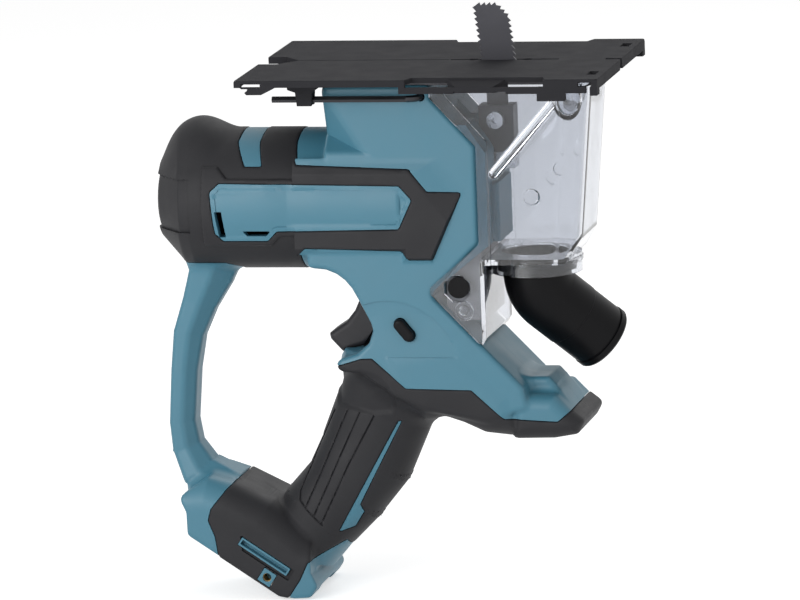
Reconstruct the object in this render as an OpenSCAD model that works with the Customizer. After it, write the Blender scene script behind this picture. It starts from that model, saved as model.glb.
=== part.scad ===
// Cordless drywall cut-out saw with a clear dust box, shown with its blade up and no battery.
// Origin: on the working face of the base, where the blade's centre line passes through it.
// +Z is the way the blade points, -X is the side of the trigger and of the motor's rear end.

/* [Base] */
// Length of the base along the cut
base_l = 155; // [140:1:180]
// Width of the base
base_w = 116; // [90:1:126]
// From the blade to the end of the base beyond the dust box
base_front = 53.5; // [50:0.5:62]
// Thickness of the base cover's face
face_t = 1.8; // [1.4:0.1:2.6]
// Height of the base cover's skirt, face included
skirt_h = 6; // [5:0.1:8]
// Thickness of the skirt's wall
skirt_t = 1.8; // [1.4:0.1:2.6]
// Thickness of the metal base plate
base_plate_t = 2; // [1.5:0.1:2.6]
// Length of the slot for the blade
slot_l = 47; // [40:1:56]
// Width of the slot for the blade
slot_w = 2.2; // [1.8:0.1:4]

/* [Motor housing] */
// Depth of the motor's axis below the base face
motor_z = 59; // [57:0.5:63]
// Outer radius of the motor barrel
barrel_r = 30; // [28:0.5:32]
// From the blade back to the rear end of the barrel
barrel_rear = 148; // [144:1:156]
// Half the width of the body
body_hw = 29; // [28:0.5:31]
// Wall of the housing
wall = 3; // [2.6:0.1:3.4]
// Thickness of the soft overmould
rubber_t = 1.4; // [1:0.1:1.8]

/* [Grip and foot] */
// Half the width of the grip
grip_hw = 17.5; // [16:0.5:20]
// Half the front-to-back depth of the grip at its middle
grip_hd = 20.6; // [19:0.2:22]
// Half the width of the hand guard
guard_hw = 10; // [9:0.5:12]
// Half the width of the battery foot
foot_hw = 29; // [27:0.5:31]
// Half the width of the battery channel
channel_hw = 21; // [18:0.5:22]
// Depth of the battery channel
channel_d = 9; // [7:0.5:10]

/* [Drive] */
// Radius of the motor's can
motor_r = 18.5; // [17:0.1:19.5]
// Length of the motor's can
motor_l = 50; // [44:1:54]
// Radius of the motor's shaft
motor_shaft_r = 2.5; // [2:0.1:3]
// Teeth of the pinion on the motor
pinion_teeth = 12; // [12:1:14]
// Teeth of the crank gear
gear_teeth = 50; // [48:1:52]
// Module of the gears
gear_module = 0.8; // [0.76:0.01:0.82]
// Face width of the gears
gear_w = 7; // [5:0.5:8]
// Stroke of the blade
stroke = 6; // [4:0.5:7]
// Radius of the roller on the crank pin
roller_r = 4; // [3.5:0.1:4.5]
// Radius of the slider's rod
rod_r = 3.5; // [3:0.1:4]
// Radius of the crank shaft
crank_shaft_r = 3; // [2.5:0.1:3.5]

/* [Blade] */
// How far the blade stands out of the base face at mid stroke
blade_reach = 24.5; // [18:0.5:30]
// Width of the blade over its teeth
blade_w = 15.6; // [11:0.2:18]
// Thickness of the blade
blade_t = 1.2; // [0.8:0.1:1.4]
// Pitch of the teeth
tooth_pitch = 2.5; // [2:0.1:4]
// Lean of the toothed part towards the trigger side, in degrees
blade_lean = 7; // [0:0.5:9]

/* [Dust box] */
// Wall of the clear dust box
box_wall = 2.5; // [2:0.1:3]
// From the blade to the outer end of the dust box at its top
box_front = 46; // [42:0.5:50]
// How much the outer end leans in towards the bottom of the box
box_taper = 9; // [4:0.5:12]
// Depth of the dust box's floor below the base face
box_floor = 84; // [82:0.5:87]
// Outer radius of the socket ring for the nozzle
ring_r = 19.5; // [18.5:0.1:21]
// From the blade to the nozzle's swivel axis
nozzle_x = 14.6; // [13.5:0.1:17]

/* [Nozzle] */
// Outer radius of the hose nozzle
nozzle_r = 14.6; // [13:0.1:15]
// Wall of the nozzle
nozzle_wall = 2; // [1.6:0.1:2.6]
// Bend of the elbow, in degrees
elbow_angle = 50; // [40:1:60]
// Bend radius of the elbow at the tube's middle
elbow_r = 16; // [15:0.5:20]
// Straight length of the nozzle after the elbow
nozzle_l = 32; // [24:1:34]
// Swivel of the nozzle at rest, in degrees
nozzle_swivel = 35; // [0:1:45]

/* [Controls] */
// Half the width of the trigger
trigger_hw = 9; // [8:0.5:10.5]
// Pull of the trigger
trigger_pull = 6; // [4:0.5:7]
// Length of the lock-off button's oval
button_l = 11; // [9:0.5:13]
// Width of the lock-off button's oval
button_w = 5; // [4:0.25:6]
// Push of the lock-off button
button_push = 5; // [4:0.5:6]

/* [Fasteners] */
// Radius of the housing screws' shanks
screw_r = 1.7; // [1.4:0.1:2]
// Radius of the screw heads
screw_head_r = 3.4; // [3:0.1:4]
// Radius of the threaded hole for a belt hook
hook_r = 1.65; // [1.4:0.05:2.1]
// Width across flats of the hex key
key_af = 2.5; // [2:0.1:3]
// Long arm of the hex key
key_l = 63; // [50:1:70]
// Short arm of the hex key
key_s = 18; // [16:1:22]

/* [Hidden] */
$fn = 48;

// Clearances
seat_gap = 0.3;        // between a loose part and its seat
bond_gap = 0.05;       // between the overmould and its pocket
run_gap = 0.05;        // radial, on a shaft that turns or slides
tiny = 0.02;

// Colours
teal = [0.22, 0.45, 0.52];
soft_black = [0.17, 0.17, 0.18];
cover_grey = [0.22, 0.22, 0.23];
gloss_black = [0.05, 0.05, 0.06];
steel = [0.62, 0.63, 0.65];
dark_steel = [0.30, 0.30, 0.31];
cast_alloy = [0.70, 0.71, 0.72];
copper = [0.72, 0.42, 0.25];
bronze = [0.66, 0.52, 0.33];
clear = [0.82, 0.84, 0.87, 0.35];

// Base
base_x0 = base_front - base_l;
base_hw = base_w / 2;
notch_hw = 0.095 * base_w;
notch_l = 14;
plate_z = -skirt_h + 1;
plate_hw = body_hw - 3;
neck_top = plate_z - base_plate_t;

// Body outline, in X and Z
neck_x = -71;
nose_x = -5;
chev_top_x = -24;
chev_top_z = -12;
chev_up_z = -33;
chev_low_z = -75;
chev_tip_x = -26.5;
chev_tip_z = -97;
slope_end = [12, -137];
chin_tip = [38.5, -151];
chin_low_z = -161.5;
palm = [-30, -152];
finger_top = [-64, -103];
grip_axis = -33.7;
lip_hw = body_hw - box_wall - seat_gap;
nose_hw = 15;
nose_end = 6;

// Drive line
centre_d = gear_module * (pinion_teeth + gear_teeth) / 2;
crank_z = -motor_z - centre_d;
throw = stroke / 2;
slider_x = -12;
gear_x = slider_x - 21;
motor_x = -128;
case_x = gear_x - 25;
case_w = 22;
case_wall = 6;
case_hw = 21;
case_top = -motor_z + 16;
case_low = crank_z - 10;
slider_back = 8;
yoke_hw = roller_r + throw + 4.5;
yoke_hh = roller_r + 5;
slot_slack = 0.22 * throw + 0.1;
rod_top = -46;
arm_h = 7;
clamp_z = rod_top + arm_h;
bush_l = 8;
bush_r = rod_r + 1.6;
bush_top = crank_z + yoke_hh + throw + 4;
bush_low = crank_z - yoke_hh - throw - 4 - bush_l;
rod_low = bush_low - throw - 1;
guide_hw = 19;
guide_x0 = slider_x - 9;
guide_x1 = -5.6;
guide_top = bush_top + bush_l + 1;
guide_low = bush_low - 1;

// Grip frame: u runs front to back across the foot, w runs out of the foot's underside
u = [cos(grip_axis), sin(grip_axis)];
w = [sin(grip_axis), -cos(grip_axis)];
foot_c = [-108, -203];
// Height of the body's slope under the dust box
function slope_z(x) = chev_tip_z + (x - chev_tip_x) * (slope_end[1] - chev_tip_z) / (slope_end[0] - chev_tip_x);
function at_foot(a, b) = [foot_c[0] + a * u[0] + b * w[0], foot_c[1] + a * u[1] + b * w[1]];

// Shapes shared by several parts

// A flat outline in X and Z, drawn out to both sides of the middle plane
module slab(points, hw) {
    rotate([90, 0, 0]) linear_extrude(2 * hw, center = true) polygon(points);
}

// A convex slab with eased edges, drawn in by inset all round
module eased(points, hw, ease, inset = 0) {
    hull() {
        rotate([90, 0, 0]) linear_extrude(2 * (hw - inset - ease), center = true)
            offset(delta = -inset) polygon(points);
        rotate([90, 0, 0]) linear_extrude(2 * (hw - inset - 0.35 * ease), center = true)
            offset(delta = -inset - 0.35 * ease) polygon(points);
        rotate([90, 0, 0]) linear_extrude(2 * (hw - inset), center = true)
            offset(delta = -inset - ease) polygon(points);
    }
}

// Points round a section across a handle: s holds its centre in X and Z, half depth, half width and tilt.
// A round of 1 makes an oval, and a smaller one squares it up.
function section(s, d, n, round) = [for (k = [0 : n - 1]) let (a = -360 * (k + 0.5) / n,
    x = (s[1] - d) * sign(cos(a)) * pow(abs(cos(a)), round), y = (s[2] - d) * sign(sin(a)) * pow(abs(sin(a)), round))
    [s[0][0] + x * cos(s[3]), y, s[0][1] + x * sin(s[3])]];

// A solid through a list of rings of points
module skin(rings) {
    n = len(rings[0]);
    last = len(rings) - 1;
    polyhedron(points = [for (g = rings) each g], faces = concat(
        [[for (k = [0 : n - 1]) k]],
        [for (i = [0 : last - 1]) for (k = [0 : n - 1]) each [
            [i * n + k, (i + 1) * n + k, i * n + (k + 1) % n],
            [i * n + (k + 1) % n, (i + 1) * n + k, (i + 1) * n + (k + 1) % n]]],
        [[for (k = [n - 1 : -1 : 0]) last * n + k]]));
}

module along_x(x, z, y = 0) {
    translate([x, y, z]) rotate([0, 90, 0]) children();
}

module along_y(x, z, y = 0) {
    translate([x, y, z]) rotate([-90, 0, 0]) children();
}

module disc_x(x, l, r, z, y = 0) {
    along_x(x, z, y) rotate(180 / $fn) cylinder(r = r, h = l);
}

module tube_x(x, l, r, bore, z, y = 0) {
    along_x(x, z, y) rotate(180 / $fn) difference() {
        cylinder(r = r, h = l);
        translate([0, 0, -1]) cylinder(r = bore, h = l + 2);
    }
}

module side_half(side) {
    intersection() {
        children();
        translate([-300, side < 0 ? -100 : 0, -300]) cube([600, 100, 600]);
    }
}

// The housing's outer form, drawn in by d

neck_outline = [[neck_x, neck_top], [chev_top_x - 0.5, neck_top], [chev_top_x - 0.5, chev_top_z],
    [nose_x, chev_up_z], [nose_x, -motor_z], [neck_x, -motor_z]];
mid_outline = [[-78, -42], [nose_x - 6, -42], [nose_x, -46], [nose_x, chev_low_z],
    [chev_tip_x, chev_tip_z], [-58, -100], [-74, -92], [-80, -84]];
low_outline = [[chev_tip_x, chev_tip_z], slope_end, [12, chin_low_z], [-8, -159.5], palm,
    [-55, -130], finger_top, [-60, -97]];
chin_outline = [[9, slope_end[1]], [24, slope_end[1]], [chin_tip[0] - 2, chin_tip[1] + 3], chin_tip,
    [chin_tip[0] - 4.5, -159], [24, chin_low_z], [8, chin_low_z]];
foot_outline = [[-140, -185], [-137, -201.5], [-97, -228], [-91, -229.5], [-84, -226],
    [-77, -214], [-100, -187], [-117, -179.5], [-128, -177]];

grip_sections = [
    [[-47, -133], grip_hd + 2.4, grip_hw + 4, -22],
    [[-54, -151], grip_hd + 0.4, grip_hw, -23],
    [[-62.5, -171], grip_hd, grip_hw, -29],
    [[-71.5, -185], grip_hd - 2, grip_hw + 0.5, -33],
    [[-83, -197], grip_hd - 2.5, grip_hw + 3, -37],
    [[-92, -209], grip_hd - 3.5, grip_hw + 4, -38]];

guard_sections = [
    [[-122, -80], 14, guard_hw + 4, -2],
    [[-125.5, -92], 10, guard_hw + 1, 14],
    [[-132, -104], 6.4, guard_hw, 18],
    [[-137, -117], 5.4, guard_hw, 14],
    [[-139.4, -133], 4.7, guard_hw, 6],
    [[-141.2, -156], 4.5, guard_hw, 3],
    [[-139.8, -167], 5, guard_hw, -16],
    [[-134.5, -177], 6.6, guard_hw + 2, -34],
    [[-124, -186], 11, guard_hw + 6, -46]];

// Sections with the two ends drawn in by d along the handle
function drawn_in(list, d) = let (e = len(list) - 1,
    a = (list[1][0] - list[0][0]) / norm(list[1][0] - list[0][0]),
    b = (list[e][0] - list[e - 1][0]) / norm(list[e][0] - list[e - 1][0]))
    [for (i = [0 : e]) [list[i][0] + (i == 0 ? d * a : i == e ? -d * b : [0, 0]), list[i][1], list[i][2], list[i][3]]];

module grip_form(d) {
    skin([for (s = drawn_in(grip_sections, d)) section(s, d, 24, 1)]);
}

module guard_form(d) {
    skin([for (s = drawn_in(guard_sections, d)) section(s, d, 20, 0.5)]);
}

module barrel_form(d) {
    rear_r = 0.78 * barrel_r;
    barrel_end = 36;
    hull() {
        disc_x(-barrel_rear + d, 1, rear_r - d, -motor_z);
        disc_x(-barrel_rear + 4 + d / 2, 1, 0.92 * barrel_r - d, -motor_z);
        disc_x(-barrel_rear + 12, barrel_rear - 12 - barrel_end - d, barrel_r - d, -motor_z);
    }
    // raised bumper over the rear end
    hull() {
        translate([-barrel_rear + 17, 0, -motor_z + barrel_r - 8]) scale([14 - d, 19 - d, 13 - d])
            rotate(6.3) sphere(1, $fn = 28);
        translate([-barrel_rear + 14, 0, -motor_z]) scale([13 - d, 24 - d, 20 - d]) rotate(6.3) sphere(1, $fn = 28);
    }
}

module body_form(d) {
    eased(neck_outline, body_hw - 2.5, 5, d);
    eased(mid_outline, body_hw, 6, d);
    eased(low_outline, body_hw, 7, d);
    eased(chin_outline, body_hw - 1.5, 7, d);
    grip_form(d);
    eased(foot_outline, foot_hw, 6, d);
}

module form(d) {
    barrel_form(d);
    body_form(d);
    guard_form(d);
}

// Overmould areas, in X and Z

barrel_area = [[-160, -15], [-84, -15], [-84, -40.7], [-34, -42.8], [-26.4, -52.3], [-11.6, -52.8],
    [-25, -81.7], [-35.3, -81.7], [-38.6, -77.8], [-80, -76.5], [-84, -80], [-84, -95], [-112, -95],
    [-112, -88], [-118, -85], [-160, -85]];
panel_area = [[-120.5, -52], [-116.5, -48.4], [-38.4, -49.7], [-33, -55.8], [-39, -68.3],
    [-92, -69.2], [-96.2, -73.5], [-115.7, -73.5], [-119, -70]];
top_area = [[-108, -15], [-110.5, -33], [-106, -42], [-98.5, -42], [-101, -33], [-98.5, -15]];
grip_area = [[-85, -128], [-66, -127.7], [-53.5, -125.9], [-39.2, -138.9], [-9.7, -139.7],
    [3.7, -151.8], [26.7, -152.7], [44, -139.5], [60, -139], [60, -200], [-60, -260], [-96, -262],
    [-122.9, -214], [-124.6, -202], [-127.4, -195], [-126, -190], [-120, -182.5], [-112, -175],
    [-104, -165]];
stripe_area = [[-45, -153.6], [-43.5, -153.6], [-63, -190], [-61.7, -193.5], [-66, -200], [-72.8, -202]];

module barrel_zone(grow) {
    rotate([90, 0, 0]) linear_extrude(200, center = true) difference() {
        offset(delta = grow) polygon(barrel_area);
        offset(delta = -grow) polygon(panel_area);
        offset(delta = -grow) polygon(top_area);
    }
}

module grip_zone(grow) {
    rotate([90, 0, 0]) linear_extrude(200, center = true) difference() {
        offset(delta = grow) polygon(grip_area);
        offset(delta = -grow) polygon(stripe_area);
    }
}

// Housing

boss_points = [[-60, -20], [-33, -20], [2, -146], [28, -151], [-80, -204]];
boss_r = screw_r + 2.9;
screw_sink = 12;

module cavity() {
    difference() {
        union() {
            barrel_form(wall);
            body_form(wall);
            fan_room();
            grip_bridge();
            slab([[-56, -106], [-59.5, -98.5], [-61, -96], [-62, -91], [-35, -91], [-35, -106]], body_hw - 11);
        }
        for (p = boss_points) along_y(p[0], p[1], -60) cylinder(r = boss_r, h = 120, $fn = 20);
        motor_ribs();
        case_ribs();
        switch_ribs();
        foot_floor();
    }
}

rib_t = 3;
module motor_ribs() {
    for (x = [motor_x + 6, motor_x + motor_l - 8])
        tube_x(x, rib_t, barrel_r, motor_r + seat_gap, -motor_z, $fn = 40);
}

module case_ribs() {
    difference() {
        translate([case_x + 3, -body_hw, case_low - rib_t])
            cube([case_w - 6, 2 * body_hw, case_top - case_low + 2 * rib_t]);
        translate([case_x - seat_gap, -case_hw - seat_gap, case_low - seat_gap])
            cube([case_w + 2 * seat_gap, 2 * (case_hw + seat_gap), case_top - case_low + 2 * seat_gap]);
    }
}

module fan_room() {
    disc_x(neck_x - 9, 24, motor_r + 4, -motor_z, $fn = 40);
}

// Room inside the top of the grip, where it opens into the body
module grip_bridge() {
    eased([[-63, -133], [-57, -127], [-50, -117], [-30, -125], [-34, -146], [-57, -147]], grip_hw - 4, 3);
}

switch_l = 27;
switch_low = -16;
switch_top = 6;
switch_hw = 9.5;
switch_at = [-38.7, -125.2];
module at_switch() {
    translate([switch_at[0], 0, switch_at[1]]) rotate([0, -grip_axis, 0]) children();
}

module switch_ribs() {
    for (y = [-1, 1]) at_switch() difference() {
        translate([-switch_l / 2 + 4, y > 0 ? switch_hw + seat_gap : -body_hw, switch_low + 7])
            cube([switch_l - 8, body_hw - switch_hw - seat_gap, rib_t]);
    }
}

module at_channel() {
    translate([foot_c[0], 0, foot_c[1]]) rotate([0, -grip_axis, 0]) children();
}

// Solid floor and sides of the foot, which the battery's channel is cut into
foot_depth = 11.5;
module foot_floor() {
    foot_room = grip_hw + 1.5;
    at_channel() {
        translate([-60, -60, -60]) cube([120, 120, 60]);
        for (s = [-1, 1]) translate([-60, s > 0 ? foot_room : -60, -1]) cube([120, 60 - foot_room, 26]);
    }
}

channel_front = -40;
channel_back = 24;
rail_d = 3;
module battery_channel() {
    at_channel() {
        translate([channel_front, -channel_hw, -40]) cube([channel_back - channel_front, 2 * channel_hw,
            40 - foot_depth + channel_d]);
        translate([channel_front, -channel_hw - rail_d, -foot_depth + 5])
            cube([channel_back - channel_front, 2 * (channel_hw + rail_d), 3]);
    }
}

// Trigger outline at rest, in X and Z
trigger_outline = [[-61.5, -101.5], [-64, -107], [-68, -112], [-73, -115.2], [-75.6, -117], [-75, -119.5],
    [-69.9, -125], [-60, -122], [-52.5, -115.5], [-54, -110]];
trigger_gap = 0.5;
stem_hw = 4;
stem_hh = 6;
stem_z = -5;
module trigger_room() {
    hull() for (t = [0, trigger_pull]) translate([t * u[0], 0, t * u[1]])
        slab(trigger_outline, trigger_hw + trigger_gap);
    at_switch() translate([-switch_l / 2 - trigger_pull - 4, -switch_hw - seat_gap, switch_low - seat_gap])
        cube([switch_l + trigger_pull + 4 + seat_gap, 2 * (switch_hw + seat_gap), switch_top - switch_low + 2 * seat_gap]);
}

button_at = [-38.5, -112];
button_tilt = -51;
module button_oval(grow) {
    translate([button_at[0], 0, button_at[1]]) rotate([90, 0, 0]) linear_extrude(120, center = true)
        rotate(button_tilt) hull() for (a = [-1, 1]) translate([a * (button_l - button_w) / 2, 0])
            circle(button_w / 2 + grow, $fn = 24);
}

key_x = -28;
key_z = -11.8;
key_y = -body_hw - 3.5;
vent_up = [[-115.6, -58.5], [-112.6, -58.5], [-111.4, -69.8], [-114.2, -69.8]];
vent_flat = [[-107, -69], [-94.5, -69], [-96.8, -71.2], [-105.3, -71.2]];
catch_at = [-14.7, -94];
catch_r = 4.6;
catch_push = 2.5;
catch_stem_r = 3;

slot_rim = 2.6;
module hook_slot(side) {
    at_channel() translate([8, side * foot_hw, -3]) cube([28, 6, slot_rim], center = true);
}

hook_at = at_foot(13.9, 10.8);
hook_seat = 3.2;
nut_l = 5;
nut_out = foot_hw - 1.6;

module housing_half(side) {
    color(teal) difference() {
        side_half(side) union() {
            form(0);
            lip_and_nose();
        }
        cavity();
        difference() {
            union() {
                barrel_zone(bond_gap);
                grip_zone(bond_gap);
            }
            form(rubber_t + bond_gap);
        }
        nose_cuts();
        battery_channel();
        trigger_room();
        button_oval(0.35);
        for (p = [vent_up, vent_flat]) slab(p, 100);
        for (p = boss_points) screw_holes(p, side);
        if (side < 0) along_y(key_x, key_z, -60) cylinder(r = key_af * 0.58 + 0.3, h = 60 - body_hw + 17, $fn = 16);
        hook_slot(side);
        translate([hook_at[0], side * (nut_out + 5 - nut_l - seat_gap), hook_at[1]]) rotate([0, -grip_axis, 0])
            cube([2 * hook_seat, 10, 2 * hook_seat], center = true);
        terminal_room();
    }
}

module lip_and_nose() {
    slab([[-40, -24], [-13 + 4, -24], [nose_x + 4, chev_up_z - 3], [nose_x + 4, chev_low_z - 1], [-20, -91],
        [-40, -91]], lip_hw);
    slab([[-20, -50.5], [nose_end, -50.5], [nose_end, -76], [-20, -76]], nose_hw);
}

module nose_cuts() {
    // room for the slider's guide
    translate([guide_x0 - seat_gap, -guide_hw - seat_gap, guide_low - seat_gap])
        cube([guide_x1 - guide_x0 + 2 * seat_gap, 2 * (guide_hw + seat_gap), guide_top - guide_low + 2 * seat_gap]);
    // room for the crank gear
    disc_x(gear_x - 3.2, guide_x0 - gear_x + 4, gear_module * (gear_teeth / 2 + 1) + 1.5, crank_z, $fn = 40);
    // room for the pinion
    disc_x(case_x - 30, gear_x + gear_w + 33 - case_x, gear_module * (pinion_teeth / 2 + 1) + 1.2, -motor_z, $fn = 24);
    // room for the slider's rod, its arm and the blade clamp
    translate([slider_x, 0, rod_low - throw - 1]) cylinder(r = rod_r + 1, h = rod_top - rod_low, $fn = 24);
    translate([slider_x - 7, -clamp_hw - 2.2, rod_top - throw - 1])
        cube([30, 2 * clamp_hw + 4.4, arm_h + clamp_h + 2 * throw + 3]);
    // the clear tabs lie over the sides here
    for (s = [-1, 1]) translate([0, s * (lip_hw + 10), 0]) slab(box_side(0.4), 10);
}

module screw_holes(p, side) {
    if (side > 0) {
        along_y(p[0], p[1], screw_sink) cylinder(r = screw_head_r + 0.3, h = 80, $fn = 20);
        along_y(p[0], p[1], -1) cylinder(r = screw_r + 0.3, h = 80, $fn = 16);
    } else {
        along_y(p[0], p[1], -screw_sink - 2) cylinder(r = screw_r + 0.08, h = 80, $fn = 24);
    }
}

module barrel_overmould(side) {
    color(soft_black) difference() {
        side_half(side) intersection() {
            form(0);
            barrel_zone(0);
        }
        form(rubber_t);
        guard_form(-bond_gap);
        fan_room();
    }
}

module grip_overmould(side) {
    color(soft_black) difference() {
        side_half(side) intersection() {
            form(0);
            grip_zone(0);
        }
        form(rubber_t);
        battery_channel();
        trigger_room();
        hook_slot(side);
        for (p = boss_points) if (side > 0) along_y(p[0], p[1], 1) cylinder(r = screw_head_r + 0.3, h = 80, $fn = 20);
        translate([hook_at[0], side * foot_hw, hook_at[1]]) rotate([0, -grip_axis, 0])
            cube([2 * hook_seat + 0.3, 20, 2 * hook_seat + 0.3], center = true);
    }
}

module housing_screws() {
    color(dark_steel) for (p = boss_points) along_y(p[0], p[1]) difference() {
        union() {
            translate([0, 0, -screw_sink]) cylinder(r = screw_r, h = 2 * screw_sink);
            translate([0, 0, screw_sink]) cylinder(r = screw_head_r, h = 2.4);
        }
        translate([0, 0, screw_sink + 0.9]) cylinder(r = screw_r, h = 3, $fn = 6);
    }
}

// Base

corner = 3;
base_outline = [[base_x0 + corner, -base_hw], [base_front - corner, -base_hw], [base_front, -base_hw + corner],
    [base_front, base_hw - corner], [base_front - corner, base_hw], [base_x0 + corner, base_hw],
    [base_x0, base_hw - corner], [base_x0, -base_hw + corner]];

module base_slots() {
    translate([-20, -slot_w / 2]) square([slot_l, slot_w]);
    translate([base_x0 - 1, -notch_hw]) square([notch_l + 1, 2 * notch_hw]);
    translate([base_front - 8, -1.6]) square([9, 3.2]);
    for (s = [-1, 1]) translate([base_front - 15, s * (base_hw - 13)]) square([6, 4], center = true);
}

clip_x = -76.5;
clip_w = 12;
module base_cover() {
    window_h = skirt_h - face_t - 1.6;
    color(cover_grey) difference() {
        union() {
            translate([0, 0, -face_t]) linear_extrude(face_t) difference() {
                polygon(base_outline);
                base_slots();
            }
            translate([0, 0, -skirt_h]) linear_extrude(skirt_h - face_t + tiny) difference() {
                polygon(base_outline);
                offset(delta = -skirt_t) polygon(base_outline);
                translate([base_x0 - 1, -notch_hw]) square([notch_l, 2 * notch_hw]);
                translate([base_front - 8, -notch_hw]) square([9, 2 * notch_hw]);
            }
            // walls of the sighting notch
            for (s = [-1, 1]) translate([base_x0, s > 0 ? notch_hw : -notch_hw - skirt_t, -skirt_h])
                cube([notch_l + skirt_t, skirt_t, skirt_h - 0.1]);
            translate([base_x0 + notch_l, -notch_hw - 0.1, -skirt_h]) cube([skirt_t, 2 * notch_hw + 0.2, skirt_h - 0.1]);
            // ribs that the metal base plate lies against
            for (y = [-plate_hw - 2, plate_hw]) translate([neck_x, y, plate_z]) cube([96, 2, -plate_z - 0.1]);
            // snap hooks along the long sides
            for (s = [-1, 1]) for (x = [28, 0.8 * base_x0]) translate([x, s * (base_hw - skirt_t / 2), -skirt_h - 3.4])
                translate([0, -skirt_t / 2, 0]) cube([11, skirt_t, 3.5]);
            key_clip();
        }
        // windows through the long sides
        for (x = [-25, 12.5]) translate([x, -base_hw - 1, -face_t - window_h]) cube([17.5, base_w + 2, window_h]);
        translate([base_x0 + 3, -base_hw - 1, -face_t - window_h]) cube([8, base_w + 2, window_h]);
    }
}

// Clip that holds the long arm of the hex key
module key_clip() {
    clip_d = key_z - key_af;
    key_room = key_af * 0.58 + 0.15;
    difference() {
        translate([clip_x - clip_w / 2, key_y - key_room - 2.2, clip_d]) cube([clip_w, 2 * key_room + 4.4, -clip_d - 0.1]);
        along_x(clip_x - clip_w, key_z, key_y) cylinder(r = key_room, h = 2 * clip_w);
        translate([clip_x - clip_w, key_y - key_room, clip_d - 1]) cube([2 * clip_w, 2 * key_room, key_z - clip_d + 1]);
    }
}

plate_x0 = neck_x + 1;
plate_x1 = 30;
base_screw_at = [[-63, -18], [-63, 18], [-32, -18], [-32, 18]];
module base_plate() {
    color(dark_steel) difference() {
        translate([plate_x0, -plate_hw + seat_gap, plate_z - base_plate_t])
            cube([plate_x1 - plate_x0, 2 * (plate_hw - seat_gap), base_plate_t]);
        translate([-22, -8, plate_z - base_plate_t - 1]) cube([slot_l + 1, 16, base_plate_t + 2]);
        for (p = base_screw_at) translate([p[0], p[1], plate_z - 10]) cylinder(r = screw_r + 0.2, h = 20);
    }
}

module base_screws() {
    color(steel) for (p = base_screw_at) translate([p[0], p[1], plate_z]) difference() {
        cylinder(r = screw_head_r, h = 2);
        translate([0, 0, 0.8]) cylinder(r = screw_r, h = 3, $fn = 6);
    }
    color(steel) for (p = base_screw_at) translate([p[0], p[1], plate_z - base_plate_t])
        cylinder(r = screw_r, h = base_plate_t + 0.5);
}

module hex_key() {
    r = key_af / sqrt(3);
    bend = 2 * key_af;
    color(dark_steel) {
        translate([key_x - bend, key_y, key_z]) rotate([0, -90, 0]) rotate(30) cylinder(r = r, h = key_l - bend, $fn = 6);
        translate([key_x, key_y + bend, key_z]) rotate([-90, 0, 0]) cylinder(r = r, h = key_s - bend - 1.5, $fn = 6);
        // turned end of the short arm, which the key swings on
        translate([key_x, key_y + key_s - 2, key_z]) rotate([-90, 0, 0]) cylinder(r = key_af / 2 - 0.1, h = 2);
        translate([key_x - bend, key_y + bend, key_z]) rotate([0, 0, -90])
            rotate_extrude(angle = 90) translate([bend, 0]) rotate(30) circle(r, $fn = 6);
    }
}

// Motor

module motor_can() {
    color(dark_steel) difference() {
        disc_x(motor_x, motor_l, motor_r, -motor_z);
        disc_x(motor_x - 1, motor_l - 1.5, motor_r - 1.5, -motor_z);
        disc_x(motor_x + motor_l - 5, 10, 7.5 + 0.05, -motor_z);
    }
}

module motor_magnets() {
    color(dark_steel) for (a = [0, 180]) translate([motor_x + 8, 0, -motor_z]) rotate([a, 0, 0]) intersection() {
        tube_x(0, 30, motor_r - 1.5 - 0.05, motor_r - 5, 0);
        translate([-1, -40, 6]) cube([40, 80, 40]);
    }
}

end_cap_l = 7;
module motor_end_cap() {
    color(soft_black) difference() {
        union() {
            disc_x(motor_x - end_cap_l, end_cap_l, motor_r, -motor_z);
            disc_x(motor_x - end_cap_l - 4, 4.1, 8, -motor_z);
        }
        disc_x(motor_x - end_cap_l + 3, end_cap_l, motor_r - 2, -motor_z);
        disc_x(motor_x - end_cap_l - 2.5, 20, 5.55, -motor_z);
    }
}

module motor_bearings() {
    color(steel) {
        tube_x(motor_x - end_cap_l - 2.4, 4, 5.5, motor_shaft_r + run_gap, -motor_z);
        tube_x(motor_x + motor_l - 1.5, 4.5, 7.5, motor_shaft_r + run_gap, -motor_z);
        tube_x(case_x + case_w - 5, 5, 7.5, motor_shaft_r + run_gap, -motor_z);
    }
}

comm_r = 7;
module brush_holders() {
    color(bronze) for (s = [-1, 1]) difference() {
        translate([motor_x - 3.9, s > 0 ? comm_r + 1.5 : -comm_r - 1.5 - 7.5, -motor_z - 3.5]) cube([6.5, 7.5, 7]);
        translate([motor_x - 2.9, s > 0 ? comm_r : -comm_r - 12, -motor_z - 2.5]) cube([4.5, 12, 5]);
    }
}

module carbon_brushes() {
    color(gloss_black) for (s = [-1, 1])
        translate([motor_x - 2.85, s > 0 ? comm_r + 0.1 : -comm_r - 0.1 - 8, -motor_z - 2.45]) cube([4.4, 8, 4.9]);
}

module armature_shaft() {
    color(steel) disc_x(motor_x - end_cap_l - 2, gear_x + gear_w + 1 - (motor_x - end_cap_l - 2), motor_shaft_r, -motor_z);
}

core_r = motor_r - 5.6;
module armature_core() {
    slots = 5;
    color(copper) difference() {
        tube_x(motor_x + 9, 28, core_r, motor_shaft_r, -motor_z);
        for (k = [0 : slots - 1]) translate([0, 0, -motor_z]) rotate([k * 360 / slots, 0, 0])
            translate([motor_x + 8, -1, 0.55 * core_r]) cube([30, 2, core_r]);
    }
}

module commutator() {
    color(copper) tube_x(motor_x - 3.5, 7, comm_r, motor_shaft_r, -motor_z);
}

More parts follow.
